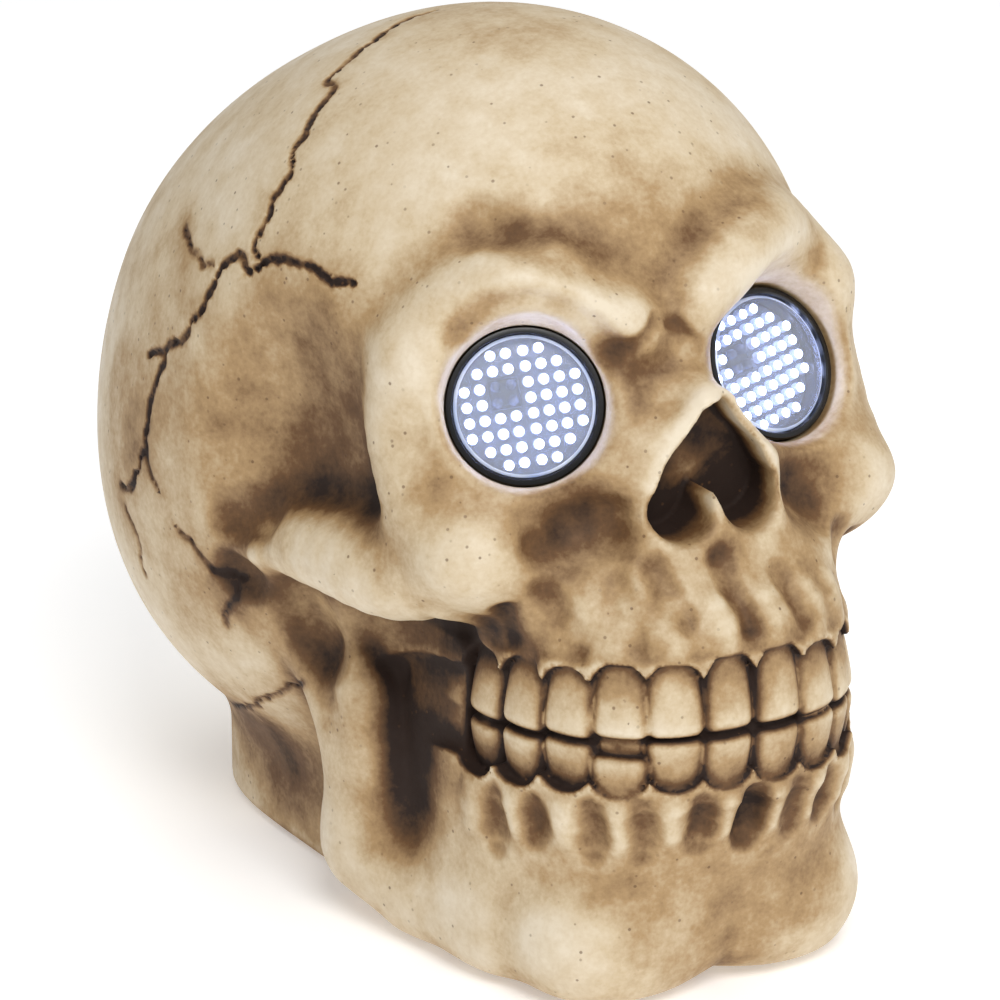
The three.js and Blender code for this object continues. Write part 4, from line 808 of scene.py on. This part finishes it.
isTooth = np.zeros(len(spots))
for tooth in crowns:
    near = np.flatnonzero(np.linalg.norm(spots - crownMiddle(tooth), axis=1) < 18)
    inside = crownForm(spots[near].T, tooth, tooth["height"] + 2, 0.0)
    isTooth[near] = np.maximum(isTooth[near], np.clip(1 - inside / 0.5, 0, 1))
crackTree = kdtree.KDTree(len(crackPoints))
for i, point in enumerate(crackPoints):
    crackTree.insert(point, i)
crackTree.balance()
crackGap = np.array([crackTree.find(point)[2] for point in spots])
setAttribute(castMesh, "fillClose", 0.5 * (washAndShadeAmount(1.2) + washAndShadeAmount(2.4)))
setAttribute(castMesh, "fillMiddle", washAndShadeAmount(6.0))
setAttribute(castMesh, "fillWide", washAndShadeAmount(15.0))
# thin and convex edges, made paler in the paint: the wash wiped back there, and partly a painted highlight
setAttribute(castMesh, "edge", np.clip(1 + clay.at(spots - facing * 2.2) / 2.2, 0, 1))
setAttribute(castMesh, "tooth", isTooth)
setAttribute(castMesh, "crackLine", np.clip(1.05 - crackGap / 0.5, 0, 1))
setAttribute(castMesh, "crackStain", np.exp(-crackGap / 4.0))
# brown spray and painted shade from the spots above, on both sides
sprayedAndShaded = np.zeros(len(spots))
for u, v, size, strength in airbrush:
    struck = clay.struck([(u, v)])
    for spot in (struck, mirrored(struck)):
        sprayedAndShaded += strength * np.exp(-np.sum((spots - spot) ** 2, 1) / (size * size))
setAttribute(castMesh, "airbrush", np.clip(sprayedAndShaded, -1, 1.6))
casting = addPiece("skullCasting", castMesh, "skull", "cast_resin", "skull_shell")
print("casting placed")


# Cast polyresin, ivory paint with a brown wash wiped back: a dry satin skin, pale on the high places and on
# edges, partly a painted highlight there, and dark in recesses, where the wash is deepened by painted shade
bone = {
    # light to dark; the dark end, reached in deep recesses, is partly brown wash and partly painted shade
    "tones": [(0.0, "#E2D4BC"), (0.2, "#CFBB9A"), (0.4, "#AC8D63"), (0.64, "#6A4A2A"), (0.92, "#26150B")],
    "speckle": "#5E4024",
    "start": 0.10,
    # how far each measure moves along the tones: the recess measures and part of the spray add painted shade to
    # the brown wash, and edge makes thin and convex edges paler, partly as a painted highlight
    "washAndShadeShares": {"fillWide": 0.42, "fillMiddle": 0.50, "fillClose": 0.62, "airbrush": 0.30, "crackStain": 0.16,
                "crackLine": 0.7, "edge": -0.30, "tooth": -0.05},
    "mottle": (34.0, 0.5),  # sprayed clouds, millimetres and share of the wash
    "cloud": (9.0, 0.42),  # sponge marks
    "grain": (1.4, 0.2),  # brush grain, really about 0.3 mm, drawn coarser to show
    "speck": 2.2,  # spacing of the spattered dots
}
resin, tree = newMaterial("polyresin, cast, ivory paint, brown wash, painted shade")
place = addNode(tree, "ShaderNodeTexCoord", out="Object")
washAndShade = bone["start"]
pattern = {}
for name, detail in (("mottle", 5.0), ("cloud", 5.0), ("grain", 3.0)):
    size, share = bone[name]
    pattern[name] = addNode(tree, "ShaderNodeTexNoise", {
        "Vector": place, "Scale": 1000.0 / size, "Detail": detail, "Roughness": 0.58})
    even = addNode(tree, "ShaderNodeMath", {0: pattern[name], 1: 0.48}, operation="SUBTRACT")
    washAndShade = addNode(tree, "ShaderNodeMath", {0: even, 1: share, 2: washAndShade}, operation="MULTIPLY_ADD")
for name, share in bone["washAndShadeShares"].items():
    amount = addNode(tree, "ShaderNodeAttribute", out="Fac", attribute_name=name)
    washAndShade = addNode(tree, "ShaderNodeMath", {0: amount, 1: share, 2: washAndShade}, operation="MULTIPLY_ADD")
tone = addNode(tree, "ShaderNodeValToRGB", {"Fac": washAndShade})
while len(tone.node.color_ramp.elements) < len(bone["tones"]):
    tone.node.color_ramp.elements.new(0.5)
for element, (position, hexColour) in zip(tone.node.color_ramp.elements, bone["tones"]):
    element.position, element.color = position, linear(hexColour)
dots = addNode(tree, "ShaderNodeTexVoronoi", {"Vector": place, "Scale": 1000.0 / bone["speck"]}, out="Distance")
chance = addNode(tree, "ShaderNodeSeparateColor", {"Color": dots.node.outputs["Color"]})
rare = addNode(tree, "ShaderNodeMapRange", {"Value": chance, "From Min": 0.80, "From Max": 0.97})
dot = addNode(tree, "ShaderNodeMapRange", {"Value": dots, "From Min": 0.24, "From Max": 0.12, "To Max": 0.65},
              interpolation_type="SMOOTHSTEP")
dot = addNode(tree, "ShaderNodeMath", {0: dot, 1: rare}, operation="MULTIPLY")
colour = addNode(tree, "ShaderNodeMix", {0: dot, 6: tone, 7: linear(bone["speckle"])}, out=2, data_type="RGBA")
rough = addNode(tree, "ShaderNodeMath", {0: pattern["cloud"], 1: 0.22, 2: 0.36}, operation="MULTIPLY_ADD")
rough = addNode(tree, "ShaderNodeMath", {0: washAndShade, 1: 0.3, 2: rough}, operation="MULTIPLY_ADD")
height = addNode(tree, "ShaderNodeMath", {0: pattern["cloud"], 1: 1.2}, operation="MULTIPLY")
height = addNode(tree, "ShaderNodeMath", {0: pattern["grain"], 1: 0.25, 2: height}, operation="MULTIPLY_ADD")
height = addNode(tree, "ShaderNodeMath", {0: dot, 1: -0.7, 2: height}, operation="MULTIPLY_ADD")
bump = addNode(tree, "ShaderNodeBump", {"Height": height, "Strength": 0.35, "Distance": 0.0006})
shader = addNode(tree, "ShaderNodeBsdfPrincipled", {
    "Base Color": colour, "Roughness": rough, "Specular IOR Level": 0.42, "Normal": bump})
addNode(tree, "ShaderNodeOutputMaterial", {"Surface": shader})
casting.data.materials.append(resin)
print("casting painted")


# Plain finishes: two shades in a coarse pattern and a fine bump, both pattern sizes in millimetres
def finish(name, dark, light, rough, fine, coarse, metal=0.0, depth=0.05, spread=0.12):
    material, tree = newMaterial(name)
    place = addNode(tree, "ShaderNodeTexCoord", out="Object")
    grit = addNode(tree, "ShaderNodeTexNoise", {"Vector": place, "Scale": 1000.0 / fine, "Detail": 3.0})
    broad = addNode(tree, "ShaderNodeTexNoise", {"Vector": place, "Scale": 1000.0 / coarse, "Detail": 4.0})
    share = addNode(tree, "ShaderNodeMapRange", {"Value": broad, "From Min": 0.35, "From Max": 0.65})
    colour = addNode(tree, "ShaderNodeMix", {0: share, 6: linear(dark), 7: linear(light)}, out=2,
                     data_type="RGBA")
    gloss = addNode(tree, "ShaderNodeMath", {0: broad, 1: spread, 2: rough - spread / 2},
                    operation="MULTIPLY_ADD")
    bump = addNode(tree, "ShaderNodeBump", {"Height": grit, "Strength": 0.4, "Distance": depth / 1000.0})
    shader = addNode(tree, "ShaderNodeBsdfPrincipled", {
        "Base Color": colour, "Roughness": gloss, "Metallic": metal, "Normal": bump})
    addNode(tree, "ShaderNodeOutputMaterial", {"Surface": shader})
    return material


# The grit of these is some hundredths of a millimetre and is drawn coarser to show
blackAbs = finish("ABS, black, polished mould", "#060608", "#0D0D10", 0.24, 0.5, 14.0,
                  depth=0.01)  # wet black shine
baseAbs = finish("ABS, black, spark-eroded mould", "#0E0E10", "#17181B", 0.55, 0.35, 20.0,
                 depth=0.08)  # dull, faint sparkle
padRubber = finish("rubber, black, moulded", "#0B0B0B", "#151514", 0.85, 0.3, 6.0,
                   depth=0.06)  # matt, hardly a highlight
zincSteel = finish("steel, zinc plated", "#A9ADB2", "#C9CCD0", 0.30, 0.25, 4.0,
                   metal=1.0, depth=0.01)  # bluish soft mirror
springSteel = finish("steel, nickel plated strip", "#B9B6AE", "#D3D0C8", 0.24, 0.3, 5.0,
                     metal=1.0, depth=0.01)  # warm mirror
cellWrap = finish("battery sleeve, shrunk film", "#1C2733", "#2F3F50", 0.32, 0.4, 9.0,
                  depth=0.01)  # slick, dark blue
wireRed = finish("PVC wire sleeve, red, extruded", "#5E0D0D", "#8A1A16", 0.5, 0.4, 8.0,
                 depth=0.02)  # waxy red
wireBlack = finish("PVC wire sleeve, black, extruded", "#0C0C0D", "#17171A", 0.5, 0.4, 8.0,
                   depth=0.02)  # waxy black
boardMask = finish("glass-epoxy board, green mask", "#1C4A2C", "#27603B", 0.42, 0.25, 6.0,
                   depth=0.02)  # glossy green
chipEpoxy = finish("epoxy, black, moulded chip", "#101112", "#1B1C1E", 0.62, 0.2, 3.0,
                   depth=0.03)  # dull charcoal
knobNylon = finish("nylon, white, moulded", "#C9C8C2", "#DCDBD5", 0.5, 0.3, 4.0,
                   depth=0.03)  # milky, soft shine
lampMask = finish("glass-epoxy board, blue-grey mask", "#5B6A8C", "#7584A6", 0.45, 0.25, 6.0,
                  depth=0.02)  # pale blue-grey
cadFinish = {
    "base_plate": baseAbs, "battery_door": baseAbs, "switch_body": zincSteel, "switch_slider": knobNylon,
    "driver_board": boardMask, "driver_chip": chipEpoxy,
    "led_board_right": lampMask, "led_board_left": lampMask,
    "eye_lead_right": wireRed, "eye_lead_left": wireRed, "battery_lead_front": wireRed,
    "battery_lead_rear": wireBlack, "switch_lead": wireBlack,
    "contact_front_pair": springSteel, "contact_front_single": springSteel,
    "contact_rear_pair": springSteel, "contact_rear_single": springSteel,
}
for i in range(1, 5):
    cadFinish["foot_pad_%d" % i] = padRubber
for i in range(1, 4):
    cadFinish["battery_cell_%d" % i] = cellWrap
for name, material in cadFinish.items():
    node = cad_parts[name]
    node.data.materials.clear()
    node.data.materials.append(material)
print("base pieces finished:", len(cadFinish))


def fromTree(name, tree, values, points=()):
    mesh = bpy.data.meshes.new(name)
    mesh.from_pydata(points, [], [])
    holder = bpy.data.objects.new(name, mesh)
    bpy.context.scene.collection.objects.link(holder)
    modifier = holder.modifiers.new("nodes", "NODES")
    modifier.node_group = tree
    for socket in tree.interface.items_tree:
        if socket.in_out == "INPUT" and socket.name in values:
            modifier[socket.identifier] = values[socket.name]
    made = evaluatedMesh(holder, name)
    holder.modifiers.clear()
    bpy.data.objects.remove(holder)
    return made


def circle(radius, sides):
    turns = [2 * math.pi * i / sides for i in range(sides)]
    return [(radius * math.cos(turn), radius * math.sin(turn)) for turn in turns]


def closedEdges(form, loop):
    return [form.edges.new(pair) for pair in zip(loop, loop[1:] + loop[:1])]


def meshFrom(form, name):
    mesh = bpy.data.meshes.new(name)
    form.to_mesh(mesh)
    form.free()
    return mesh


# Screws: pan heads with a cross recess, seated head down, or head up on the circuit board
screws = {
    "base": {"nodes": ["base_screw_%d" % i for i in range(1, 5)], "body": "skull", "up": False,
             "head": 2.8, "headHeight": 1.8, "shank": 1.5, "length": 11.0},
    "door": {"nodes": ["door_screw"], "body": "door", "up": False,
             "head": 2.5, "headHeight": 0.8, "shank": 1.2, "length": 5.8},
    "board": {"nodes": ["board_screw_1", "board_screw_2"], "body": "skull", "up": True,
              "head": 2.0, "headHeight": 1.4, "shank": 1.1, "length": None},
    "sides": 28,
    "threadPitch": 1.1,
    "turn": 1.5,
}


def screwMesh(head, headHeight, shank, length):
    form = bmesh.new()

    def ring(radius, z):
        return [form.verts.new((x, y, z)) for x, y in circle(radius, screws["sides"])]

    def wall(first, second):
        for i in range(len(first)):
            j = (i + 1) % len(first)
            form.faces.new((first[i], first[j], second[j], second[i]))

    arm, half = 0.58 * head, 0.14 * head
    cross = [(half, arm), (half, half), (arm, half), (arm, -half), (half, -half), (half, -arm),
             (-half, -arm), (-half, -half), (-arm, -half), (-arm, half), (-half, half), (-half, arm)]
    mouth = [form.verts.new((x, y, 0)) for x, y in cross]
    floor = [form.verts.new((0.75 * x, 0.75 * y, 0.6 * headHeight)) for x, y in cross]
    rim = ring(0.82 * head, 0)
    bmesh.ops.triangle_fill(form, use_beauty=True, edges=closedEdges(form, mouth) + closedEdges(form, rim))
    wall(mouth, floor)
    form.faces.new(floor)
    rings = [rim, ring(head, 0.3 * headHeight), ring(head, headHeight), ring(shank, headHeight)]
    turns = int((length - headHeight - 1.2) / screws["threadPitch"])
    for i in range(turns):
        z = headHeight + 0.3 + i * screws["threadPitch"]
        rings += [ring(0.78 * shank, z), ring(shank, z + 0.45 * screws["threadPitch"])]
    rings.append(ring(0.5 * shank, length))
    for first, second in zip(rings[:-1], rings[1:]):
        wall(first, second)
    form.faces.new(rings[-1])
    bmesh.ops.recalc_face_normals(form, faces=form.faces)
    mesh = meshFrom(form, "screw")
    mesh.transform(Matrix.Scale(0.001, 4))
    return mesh


screwNodes = bpy.data.node_groups.new("screwSet", "GeometryNodeTree")
screwNodes.interface.new_socket("Geometry", in_out="OUTPUT", socket_type="NodeSocketGeometry")
for name, kind in (("Geometry", "Geometry"), ("Screw", "Object"), ("Lean", "Float"), ("Turn", "Float"),
                   ("Seed", "Int"), ("Finish", "Material")):
    screwNodes.interface.new_socket(name, in_out="INPUT", socket_type="NodeSocket" + kind)
given = addNode(screwNodes, "NodeGroupInput").node.outputs
angle = addNode(screwNodes, "FunctionNodeRandomValue", {2: 0.0, 3: given["Turn"], "Seed": given["Seed"]},
                out=1, data_type="FLOAT")
turn = addNode(screwNodes, "ShaderNodeCombineXYZ", {0: given["Lean"], 2: angle})
single = addNode(screwNodes, "GeometryNodeObjectInfo", {"Object": given["Screw"]}, out="Geometry")
copies = addNode(screwNodes, "GeometryNodeInstanceOnPoints", {
    "Points": given["Geometry"], "Instance": single, "Rotation": turn})
real = addNode(screwNodes, "GeometryNodeRealizeInstances", {"Geometry": copies})
done = addNode(screwNodes, "GeometryNodeSetMaterial", {"Geometry": real, "Material": given["Finish"]})
addNode(screwNodes, "NodeGroupOutput", {0: done})
for seed, setName in enumerate(("base", "door", "board")):
    one = screws[setName]
    boxes = [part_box(node) for node in one["nodes"]]
    length = one["length"] or 1000.0 * (boxes[0][1].z - boxes[0][0].z)
    sample = bpy.data.objects.new("screw", screwMesh(one["head"], one["headHeight"], one["shank"], length))
    seats = [((low.x + high.x) / 2, (low.y + high.y) / 2, high.z if one["up"] else low.z)
             for low, high in boxes]
    mesh = fromTree(setName + "Screws", screwNodes, {
        "Screw": sample, "Lean": math.pi if one["up"] else 0.0, "Turn": screws["turn"], "Seed": seed,
        "Finish": zincSteel}, seats)
    bpy.data.objects.remove(sample)
    addPiece(setName + "Screws", mesh, one["body"], "zinc_steel", *one["nodes"])
    print(setName, "screws:", len(seats))


# Lamp parts: profiles as radius and height over the lens plane, and the grid of diodes on its film
lampParts = {
    "sides": 96,
    "lens": [(0, -2.6), (17.0, -2.6), (17.0, -0.8), (16.7, -0.3), (16.2, 0.0), (15.7, 0.1), (15.3, 0.02),
             (14.9, 0.1), (11.5, 0.42), (8.0, 0.62), (4.0, 0.75), (0, 0.8)],
    "bevel": 16.0,
    "housing": [(1.6, -19.0), (18.5, -19.0), (19.0, -18.5), (19.0, 0.4), (18.7, 0.85), (18.3, 0.9),
                (17.6, 0.9), (17.3, 0.6), (17.3, -2.9), (16.4, -2.9), (16.4, -10.0), (14.6, -10.0),
                (14.6, -17.0), (1.6, -17.0)],
    "filmRadius": 16.2,
    "filmFront": -6.2,
    "filmBack": -6.8,
    "pitch": 3.78,
    "split": 0.2,
    "tilt": 9.0,
    "patch": (-3.98, 3.78),
    "patchSide": 7.56,
    "patchGap": 0.3,
    "dome": [(0, 2.7), (0.5, 2.63), (0.9, 2.42), (1.15, 2.1), (1.28, 1.7), (1.3, 1.2), (1.3, 0.6), (1.45, 0.55),
             (1.45, 0.0), (0, 0.0)],
    "domeSides": 14,
    "glow": 16.0,
}


def turned(name, profile, sides, closed):
    form = bmesh.new()
    ring = [form.verts.new((r, 0, z)) for r, z in profile]
    pairs = list(zip(ring[:-1], ring[1:])) + ([(ring[-1], ring[0])] if closed else [])
    edges = [form.edges.new(pair) for pair in pairs]
    bmesh.ops.spin(form, geom=ring + edges, axis=(0, 0, 1), cent=(0, 0, 0), angle=2 * math.pi, steps=sides)
    bmesh.ops.remove_doubles(form, verts=form.verts, dist=1e-4)
    bmesh.ops.recalc_face_normals(form, faces=form.faces)
    mesh = meshFrom(form, name)
    mesh.shade_smooth()
    mesh.set_sharp_from_angle(angle=math.radians(32))
    return mesh


# Clear epoxy diode, lit: a blown-out white tip over a dark skirt
domeLit, tree = newMaterial("epoxy, clear, moulded diode, lit")
place = addNode(tree, "ShaderNodeTexCoord", out="Object")
speck = addNode(tree, "ShaderNodeTexNoise", {"Vector": place, "Scale": 1000.0 / 3.0, "Detail": 2.0})
glow = addNode(tree, "ShaderNodeMix", {0: speck, 6: linear("#A9BCFF"), 7: linear("#C6D4FF")}, out=2,
               data_type="RGBA")
tip = addNode(tree, "ShaderNodeAttribute", out="Fac", attribute_name="tip")
tip = addNode(tree, "ShaderNodeMapRange", {"Value": tip, "From Min": 0.70, "From Max": 0.80},
              interpolation_type="SMOOTHSTEP")
shine = addNode(tree, "ShaderNodeMix", {0: tip, 6: linear("#080A10"), 7: glow}, out=2, data_type="RGBA")
shader = addNode(tree, "ShaderNodeBsdfPrincipled", {
    "Base Color": linear("#C9D4EC"), "Roughness": 0.2, "Emission Color": shine,
    "Emission Strength": lampParts["glow"]})
addNode(tree, "ShaderNodeOutputMaterial", {"Surface": shader})

# Clear acrylic, polished: almost unseen but for its highlights
lensClear, tree = newMaterial("acrylic, clear, polished")
place = addNode(tree, "ShaderNodeTexCoord", out="Object")
haze = addNode(tree, "ShaderNodeTexNoise", {"Vector": place, "Scale": 1000.0 / 9.0, "Detail": 4.0})
haze = addNode(tree, "ShaderNodeMath", {0: haze, 1: 0.05, 2: 0.02}, operation="MULTIPLY_ADD")
shader = addNode(tree, "ShaderNodeBsdfPrincipled", {
    "Base Color": linear("#EAF1FF"), "Roughness": haze, "IOR": 1.49, "Alpha": 0.16})
addNode(tree, "ShaderNodeOutputMaterial", {"Surface": shader})

# The same acrylic at the bevel, where the lamp's own light comes out: a bright uneven ring
lensRim, tree = newMaterial("acrylic, clear, edge-lit bevel")
place = addNode(tree, "ShaderNodeTexCoord", out="Object")
patches = addNode(tree, "ShaderNodeTexNoise", {"Vector": place, "Scale": 1000.0 / 7.0, "Detail": 2.0})
patches = addNode(tree, "ShaderNodeMapRange", {"Value": patches, "From Min": 0.35, "From Max": 0.65})
shine = addNode(tree, "ShaderNodeMix", {0: patches, 6: linear("#8FA6D6"), 7: linear("#EEF3FF")}, out=2,
                data_type="RGBA")
shader = addNode(tree, "ShaderNodeBsdfPrincipled", {
    "Base Color": linear("#DCE6FF"), "Roughness": 0.08, "IOR": 1.49, "Emission Color": shine,
    "Emission Strength": 0.5, "Alpha": 0.7})
addNode(tree, "ShaderNodeOutputMaterial", {"Surface": shader})
domeDark = finish("epoxy, clear, moulded diode, unlit", "#2E3648", "#465069", 0.18, 0.4, 3.0,
                  depth=0.01)  # smoky bead
filmPrint = finish("polyester film, blue-grey print", "#3C4350", "#505867", 0.4, 0.3, 5.0,
                   depth=0.02)  # flat satin
filmDark = finish("polyester film, dark window", "#20262F", "#2C333F", 0.4, 0.3, 5.0,
                  depth=0.02)  # flat satin, darker

# Diodes: a square grid with its corners left out, split down the middle; the patch is either left out or alone
diodeNodes = bpy.data.node_groups.new("diodeGrid", "GeometryNodeTree")
diodeNodes.interface.new_socket("Geometry", in_out="OUTPUT", socket_type="NodeSocketGeometry")
for name, kind in (("Dome", "Object"), ("Pitch", "Float"), ("Split", "Float"), ("Patch", "Vector"),
                   ("Dark", "Bool"), ("Film", "Float"), ("Tilt", "Float"), ("Finish", "Material")):
    diodeNodes.interface.new_socket(name, in_out="INPUT", socket_type="NodeSocket" + kind)
given = addNode(diodeNodes, "NodeGroupInput").node.outputs
span = addNode(diodeNodes, "ShaderNodeMath", {0: given["Pitch"], 1: 7.0}, operation="MULTIPLY")
grid = addNode(diodeNodes, "GeometryNodeMeshGrid", {
    "Size X": span, "Size Y": span, "Vertices X": 8, "Vertices Y": 8})
spot = addNode(diodeNodes, "GeometryNodeInputPosition")
size = addNode(diodeNodes, "ShaderNodeVectorMath", {0: spot}, operation="ABSOLUTE")
reach = addNode(diodeNodes, "ShaderNodeVectorMath", {0: size, 1: (1, 1, 0)}, out="Value",
                operation="DOT_PRODUCT")
limit = addNode(diodeNodes, "ShaderNodeMath", {0: given["Pitch"], 1: 5.1}, operation="MULTIPLY")
corner = addNode(diodeNodes, "ShaderNodeMath", {0: reach, 1: limit}, operation="GREATER_THAN")
disc = addNode(diodeNodes, "GeometryNodeDeleteGeometry", {"Geometry": grid, "Selection": corner})
off = addNode(diodeNodes, "ShaderNodeVectorMath", {0: spot, 1: given["Patch"]}, operation="SUBTRACT")
off = addNode(diodeNodes, "ShaderNodeVectorMath", {0: off}, operation="ABSOLUTE")
offX = addNode(diodeNodes, "ShaderNodeSeparateXYZ", {0: off})
far = addNode(diodeNodes, "ShaderNodeMath", {0: offX, 1: offX.node.outputs[1]}, operation="MAXIMUM")
inPatch = addNode(diodeNodes, "ShaderNodeMath", {0: far, 1: given["Pitch"]}, operation="LESS_THAN")
wrong = addNode(diodeNodes, "FunctionNodeBooleanMath", {0: inPatch, 1: given["Dark"]}, operation="XOR")
kept = addNode(diodeNodes, "GeometryNodeDeleteGeometry", {"Geometry": disc, "Selection": wrong})
spotX = addNode(diodeNodes, "ShaderNodeSeparateXYZ", {0: spot})
half = addNode(diodeNodes, "ShaderNodeMath", {0: spotX}, operation="SIGN")
shift = addNode(diodeNodes, "ShaderNodeMath", {0: half, 1: given["Split"]}, operation="MULTIPLY")
move = addNode(diodeNodes, "ShaderNodeCombineXYZ", {0: shift, 2: given["Film"]})
spread = addNode(diodeNodes, "GeometryNodeSetPosition", {"Geometry": kept, "Offset": move})
dome = addNode(diodeNodes, "GeometryNodeObjectInfo", {"Object": given["Dome"]}, out="Geometry")
copies = addNode(diodeNodes, "GeometryNodeInstanceOnPoints", {"Points": spread, "Instance": dome})
turn = addNode(diodeNodes, "ShaderNodeCombineXYZ", {2: given["Tilt"]})
level = addNode(diodeNodes, "GeometryNodeTransform", {"Geometry": copies, "Rotation": turn})
real = addNode(diodeNodes, "GeometryNodeRealizeInstances", {"Geometry": level})
done = addNode(diodeNodes, "GeometryNodeSetMaterial", {"Geometry": real, "Material": given["Finish"]})
addNode(diodeNodes, "NodeGroupOutput", {0: done})


def film(dark):
    # printed film under the domes, a disc with a square window or the square that fills it
    form = bmesh.new()
    tilt = Matrix.Rotation(math.radians(lampParts["tilt"]), 4, "Z")
    half = lampParts["patchSide"] / 2 - (lampParts["patchGap"] if dark else 0.0)
    u, v = lampParts["patch"]
    square = [form.verts.new(tilt @ Vector((u + a * half, v + b * half, lampParts["filmBack"])))
              for a, b in ((-1, -1), (1, -1), (1, 1), (-1, 1))]
    edges = closedEdges(form, square)
    if not dark:
        rim = [form.verts.new((x, y, lampParts["filmBack"]))
               for x, y in circle(lampParts["filmRadius"], lampParts["sides"])]
        edges += closedEdges(form, rim)
    faces = bmesh.ops.triangle_fill(form, use_beauty=True, edges=edges)["geom"]
    faces = [f for f in faces if isinstance(f, bmesh.types.BMFace)]
    top = bmesh.ops.extrude_face_region(form, geom=faces)["geom"]
    top = [part for part in top if isinstance(part, bmesh.types.BMVert)]
    bmesh.ops.translate(form, verts=top, vec=(0, 0, lampParts["filmFront"] - lampParts["filmBack"]))
    bmesh.ops.recalc_face_normals(form, faces=form.faces)
    return meshFrom(form, "film")


def joinedMesh(name, meshes):
    # several meshes as one, each keeping its own material
    form = bmesh.new()
    materials = []
    for mesh in meshes:
        before = len(form.faces)
        form.from_mesh(mesh)
        form.faces.ensure_lookup_table()
        for face in form.faces[before:]:
            face.material_index = len(materials)
        materials.append([m for m in mesh.materials if m][0])
    whole = meshFrom(form, name)
    for material in materials:
        whole.materials.append(material)
    return whole


domeMesh = turned("diodeDome", lampParts["dome"], lampParts["domeSides"], False)
setAttribute(domeMesh, "tip", [v.co.z / lampParts["dome"][0][1] for v in domeMesh.vertices])
domeObject = bpy.data.objects.new("diodeDome", domeMesh)
for sideName in ("right", "left"):
    seat = lampMatrix(sideName)
    housing = turned("lampHousing" + sideName.title(), lampParts["housing"], lampParts["sides"], True)
    housing.materials.append(blackAbs)
    housing.transform(seat)
    addPiece("lampHousing_" + sideName, housing, "skull", "black_plastic", "lamp_housing_" + sideName)
    lens = turned("lens" + sideName.title(), lampParts["lens"], lampParts["sides"], False)
    lens.materials.append(lensClear)
    lens.materials.append(lensRim)
    for face in lens.polygons:
        if math.hypot(face.center.x, face.center.y) > lampParts["bevel"] and face.center.z > -1.0:
            face.material_index = 1
    lens.transform(seat)
    addPiece("lens_" + sideName + "_clear", lens, "skull", "clear_lens", "lens_" + sideName)
    for dark in (False, True):
        domes = fromTree("domes", diodeNodes, {
            "Dome": domeObject, "Pitch": lampParts["pitch"], "Split": lampParts["split"],
            "Patch": (*lampParts["patch"], 0.0), "Dark": dark, "Film": lampParts["filmFront"],
            "Tilt": math.radians(lampParts["tilt"]), "Finish": domeDark if dark else domeLit})
        sheet = film(dark)
        sheet.materials.append(filmDark if dark else filmPrint)
        whole = joinedMesh("diodes", [domes, sheet])
        whole.transform(seat)
        word = "unlit" if dark else "lit"
        addPiece("diodes_%s_%s" % (word, sideName), whole, "skull", "dark_diode" if dark else "lit_diode",
                 "leds_%s_%s" % (word, sideName))
        print("lamp", sideName, word, len(whole.polygons), "faces")
bpy.data.objects.remove(domeObject)

# Studio: white sweep and soft light from above left
studio = {
    "floor": ("#FBFBFB", "#FFFFFF"),
    "halfFloor": 6.0,
    "white": "#FFFFFF",
    "world": 0.34,
    "sweep": 0.3,
    "key": (27.5, (-0.5, -1.5, 1.6), 1.0),
    "fill": (3.5, (1.4, -0.9, 0.7), 1.6),
    "top": (9.0, (0.1, 0.3, 1.9), 1.4),
    "aim": (0, 0, 0.1),
}
floorMesh = bpy.data.meshes.new("floor")
floorMesh.from_pydata([(x * studio["halfFloor"], y * studio["halfFloor"], 0)
                       for x, y in ((-1, -1), (1, -1), (1, 1), (-1, 1))], [], [(0, 1, 2, 3)])
floor = bpy.data.objects.new("floor", floorMesh)
bpy.context.scene.collection.objects.link(floor)
# Paper sweep, matt white: even and bright, and open from below, so that the base shows in views from there
floorPaint, tree = newMaterial("white studio sweep")
place = addNode(tree, "ShaderNodeTexCoord", out="Object")
cloud = addNode(tree, "ShaderNodeTexNoise", {"Vector": place, "Scale": 1000.0 / 400.0, "Detail": 4.0})
dull, bright = (linear(hexColour) for hexColour in studio["floor"])
shade = addNode(tree, "ShaderNodeMix", {0: cloud, 6: dull, 7: bright}, out=2, data_type="RGBA")
shader = addNode(tree, "ShaderNodeBsdfPrincipled", {
    "Base Color": shade, "Roughness": 0.9, "Specular IOR Level": 0.1, "Emission Color": linear(studio["white"]),
    "Emission Strength": studio["sweep"]})
below = addNode(tree, "ShaderNodeNewGeometry", out="Backfacing")
clear = addNode(tree, "ShaderNodeBsdfTransparent")
sheet = addNode(tree, "ShaderNodeMixShader", {0: below, 1: shader, 2: clear})
addNode(tree, "ShaderNodeOutputMaterial", {"Surface": sheet})
floorMesh.materials.append(floorPaint)
world = bpy.data.worlds.new("studio")
world.use_nodes = True
background = world.node_tree.nodes["Background"].inputs
background["Color"].default_value = linear(studio["white"])
background["Strength"].default_value = studio["world"]
bpy.context.scene.world = world
for name in ("key", "fill", "top"):
    power, spot, size = studio[name]
    light = bpy.data.lights.new(name, "AREA")
    light.energy, light.size = power, size
    lightObject = bpy.data.objects.new(name, light)
    lightObject.location = spot
    lightObject.rotation_euler = (Vector(studio["aim"]) - Vector(spot)).to_track_quat("-Z", "Y").to_euler()
    bpy.context.scene.collection.objects.link(lightObject)
bpy.context.scene.view_settings.view_transform = "Standard"
print("studio lit")
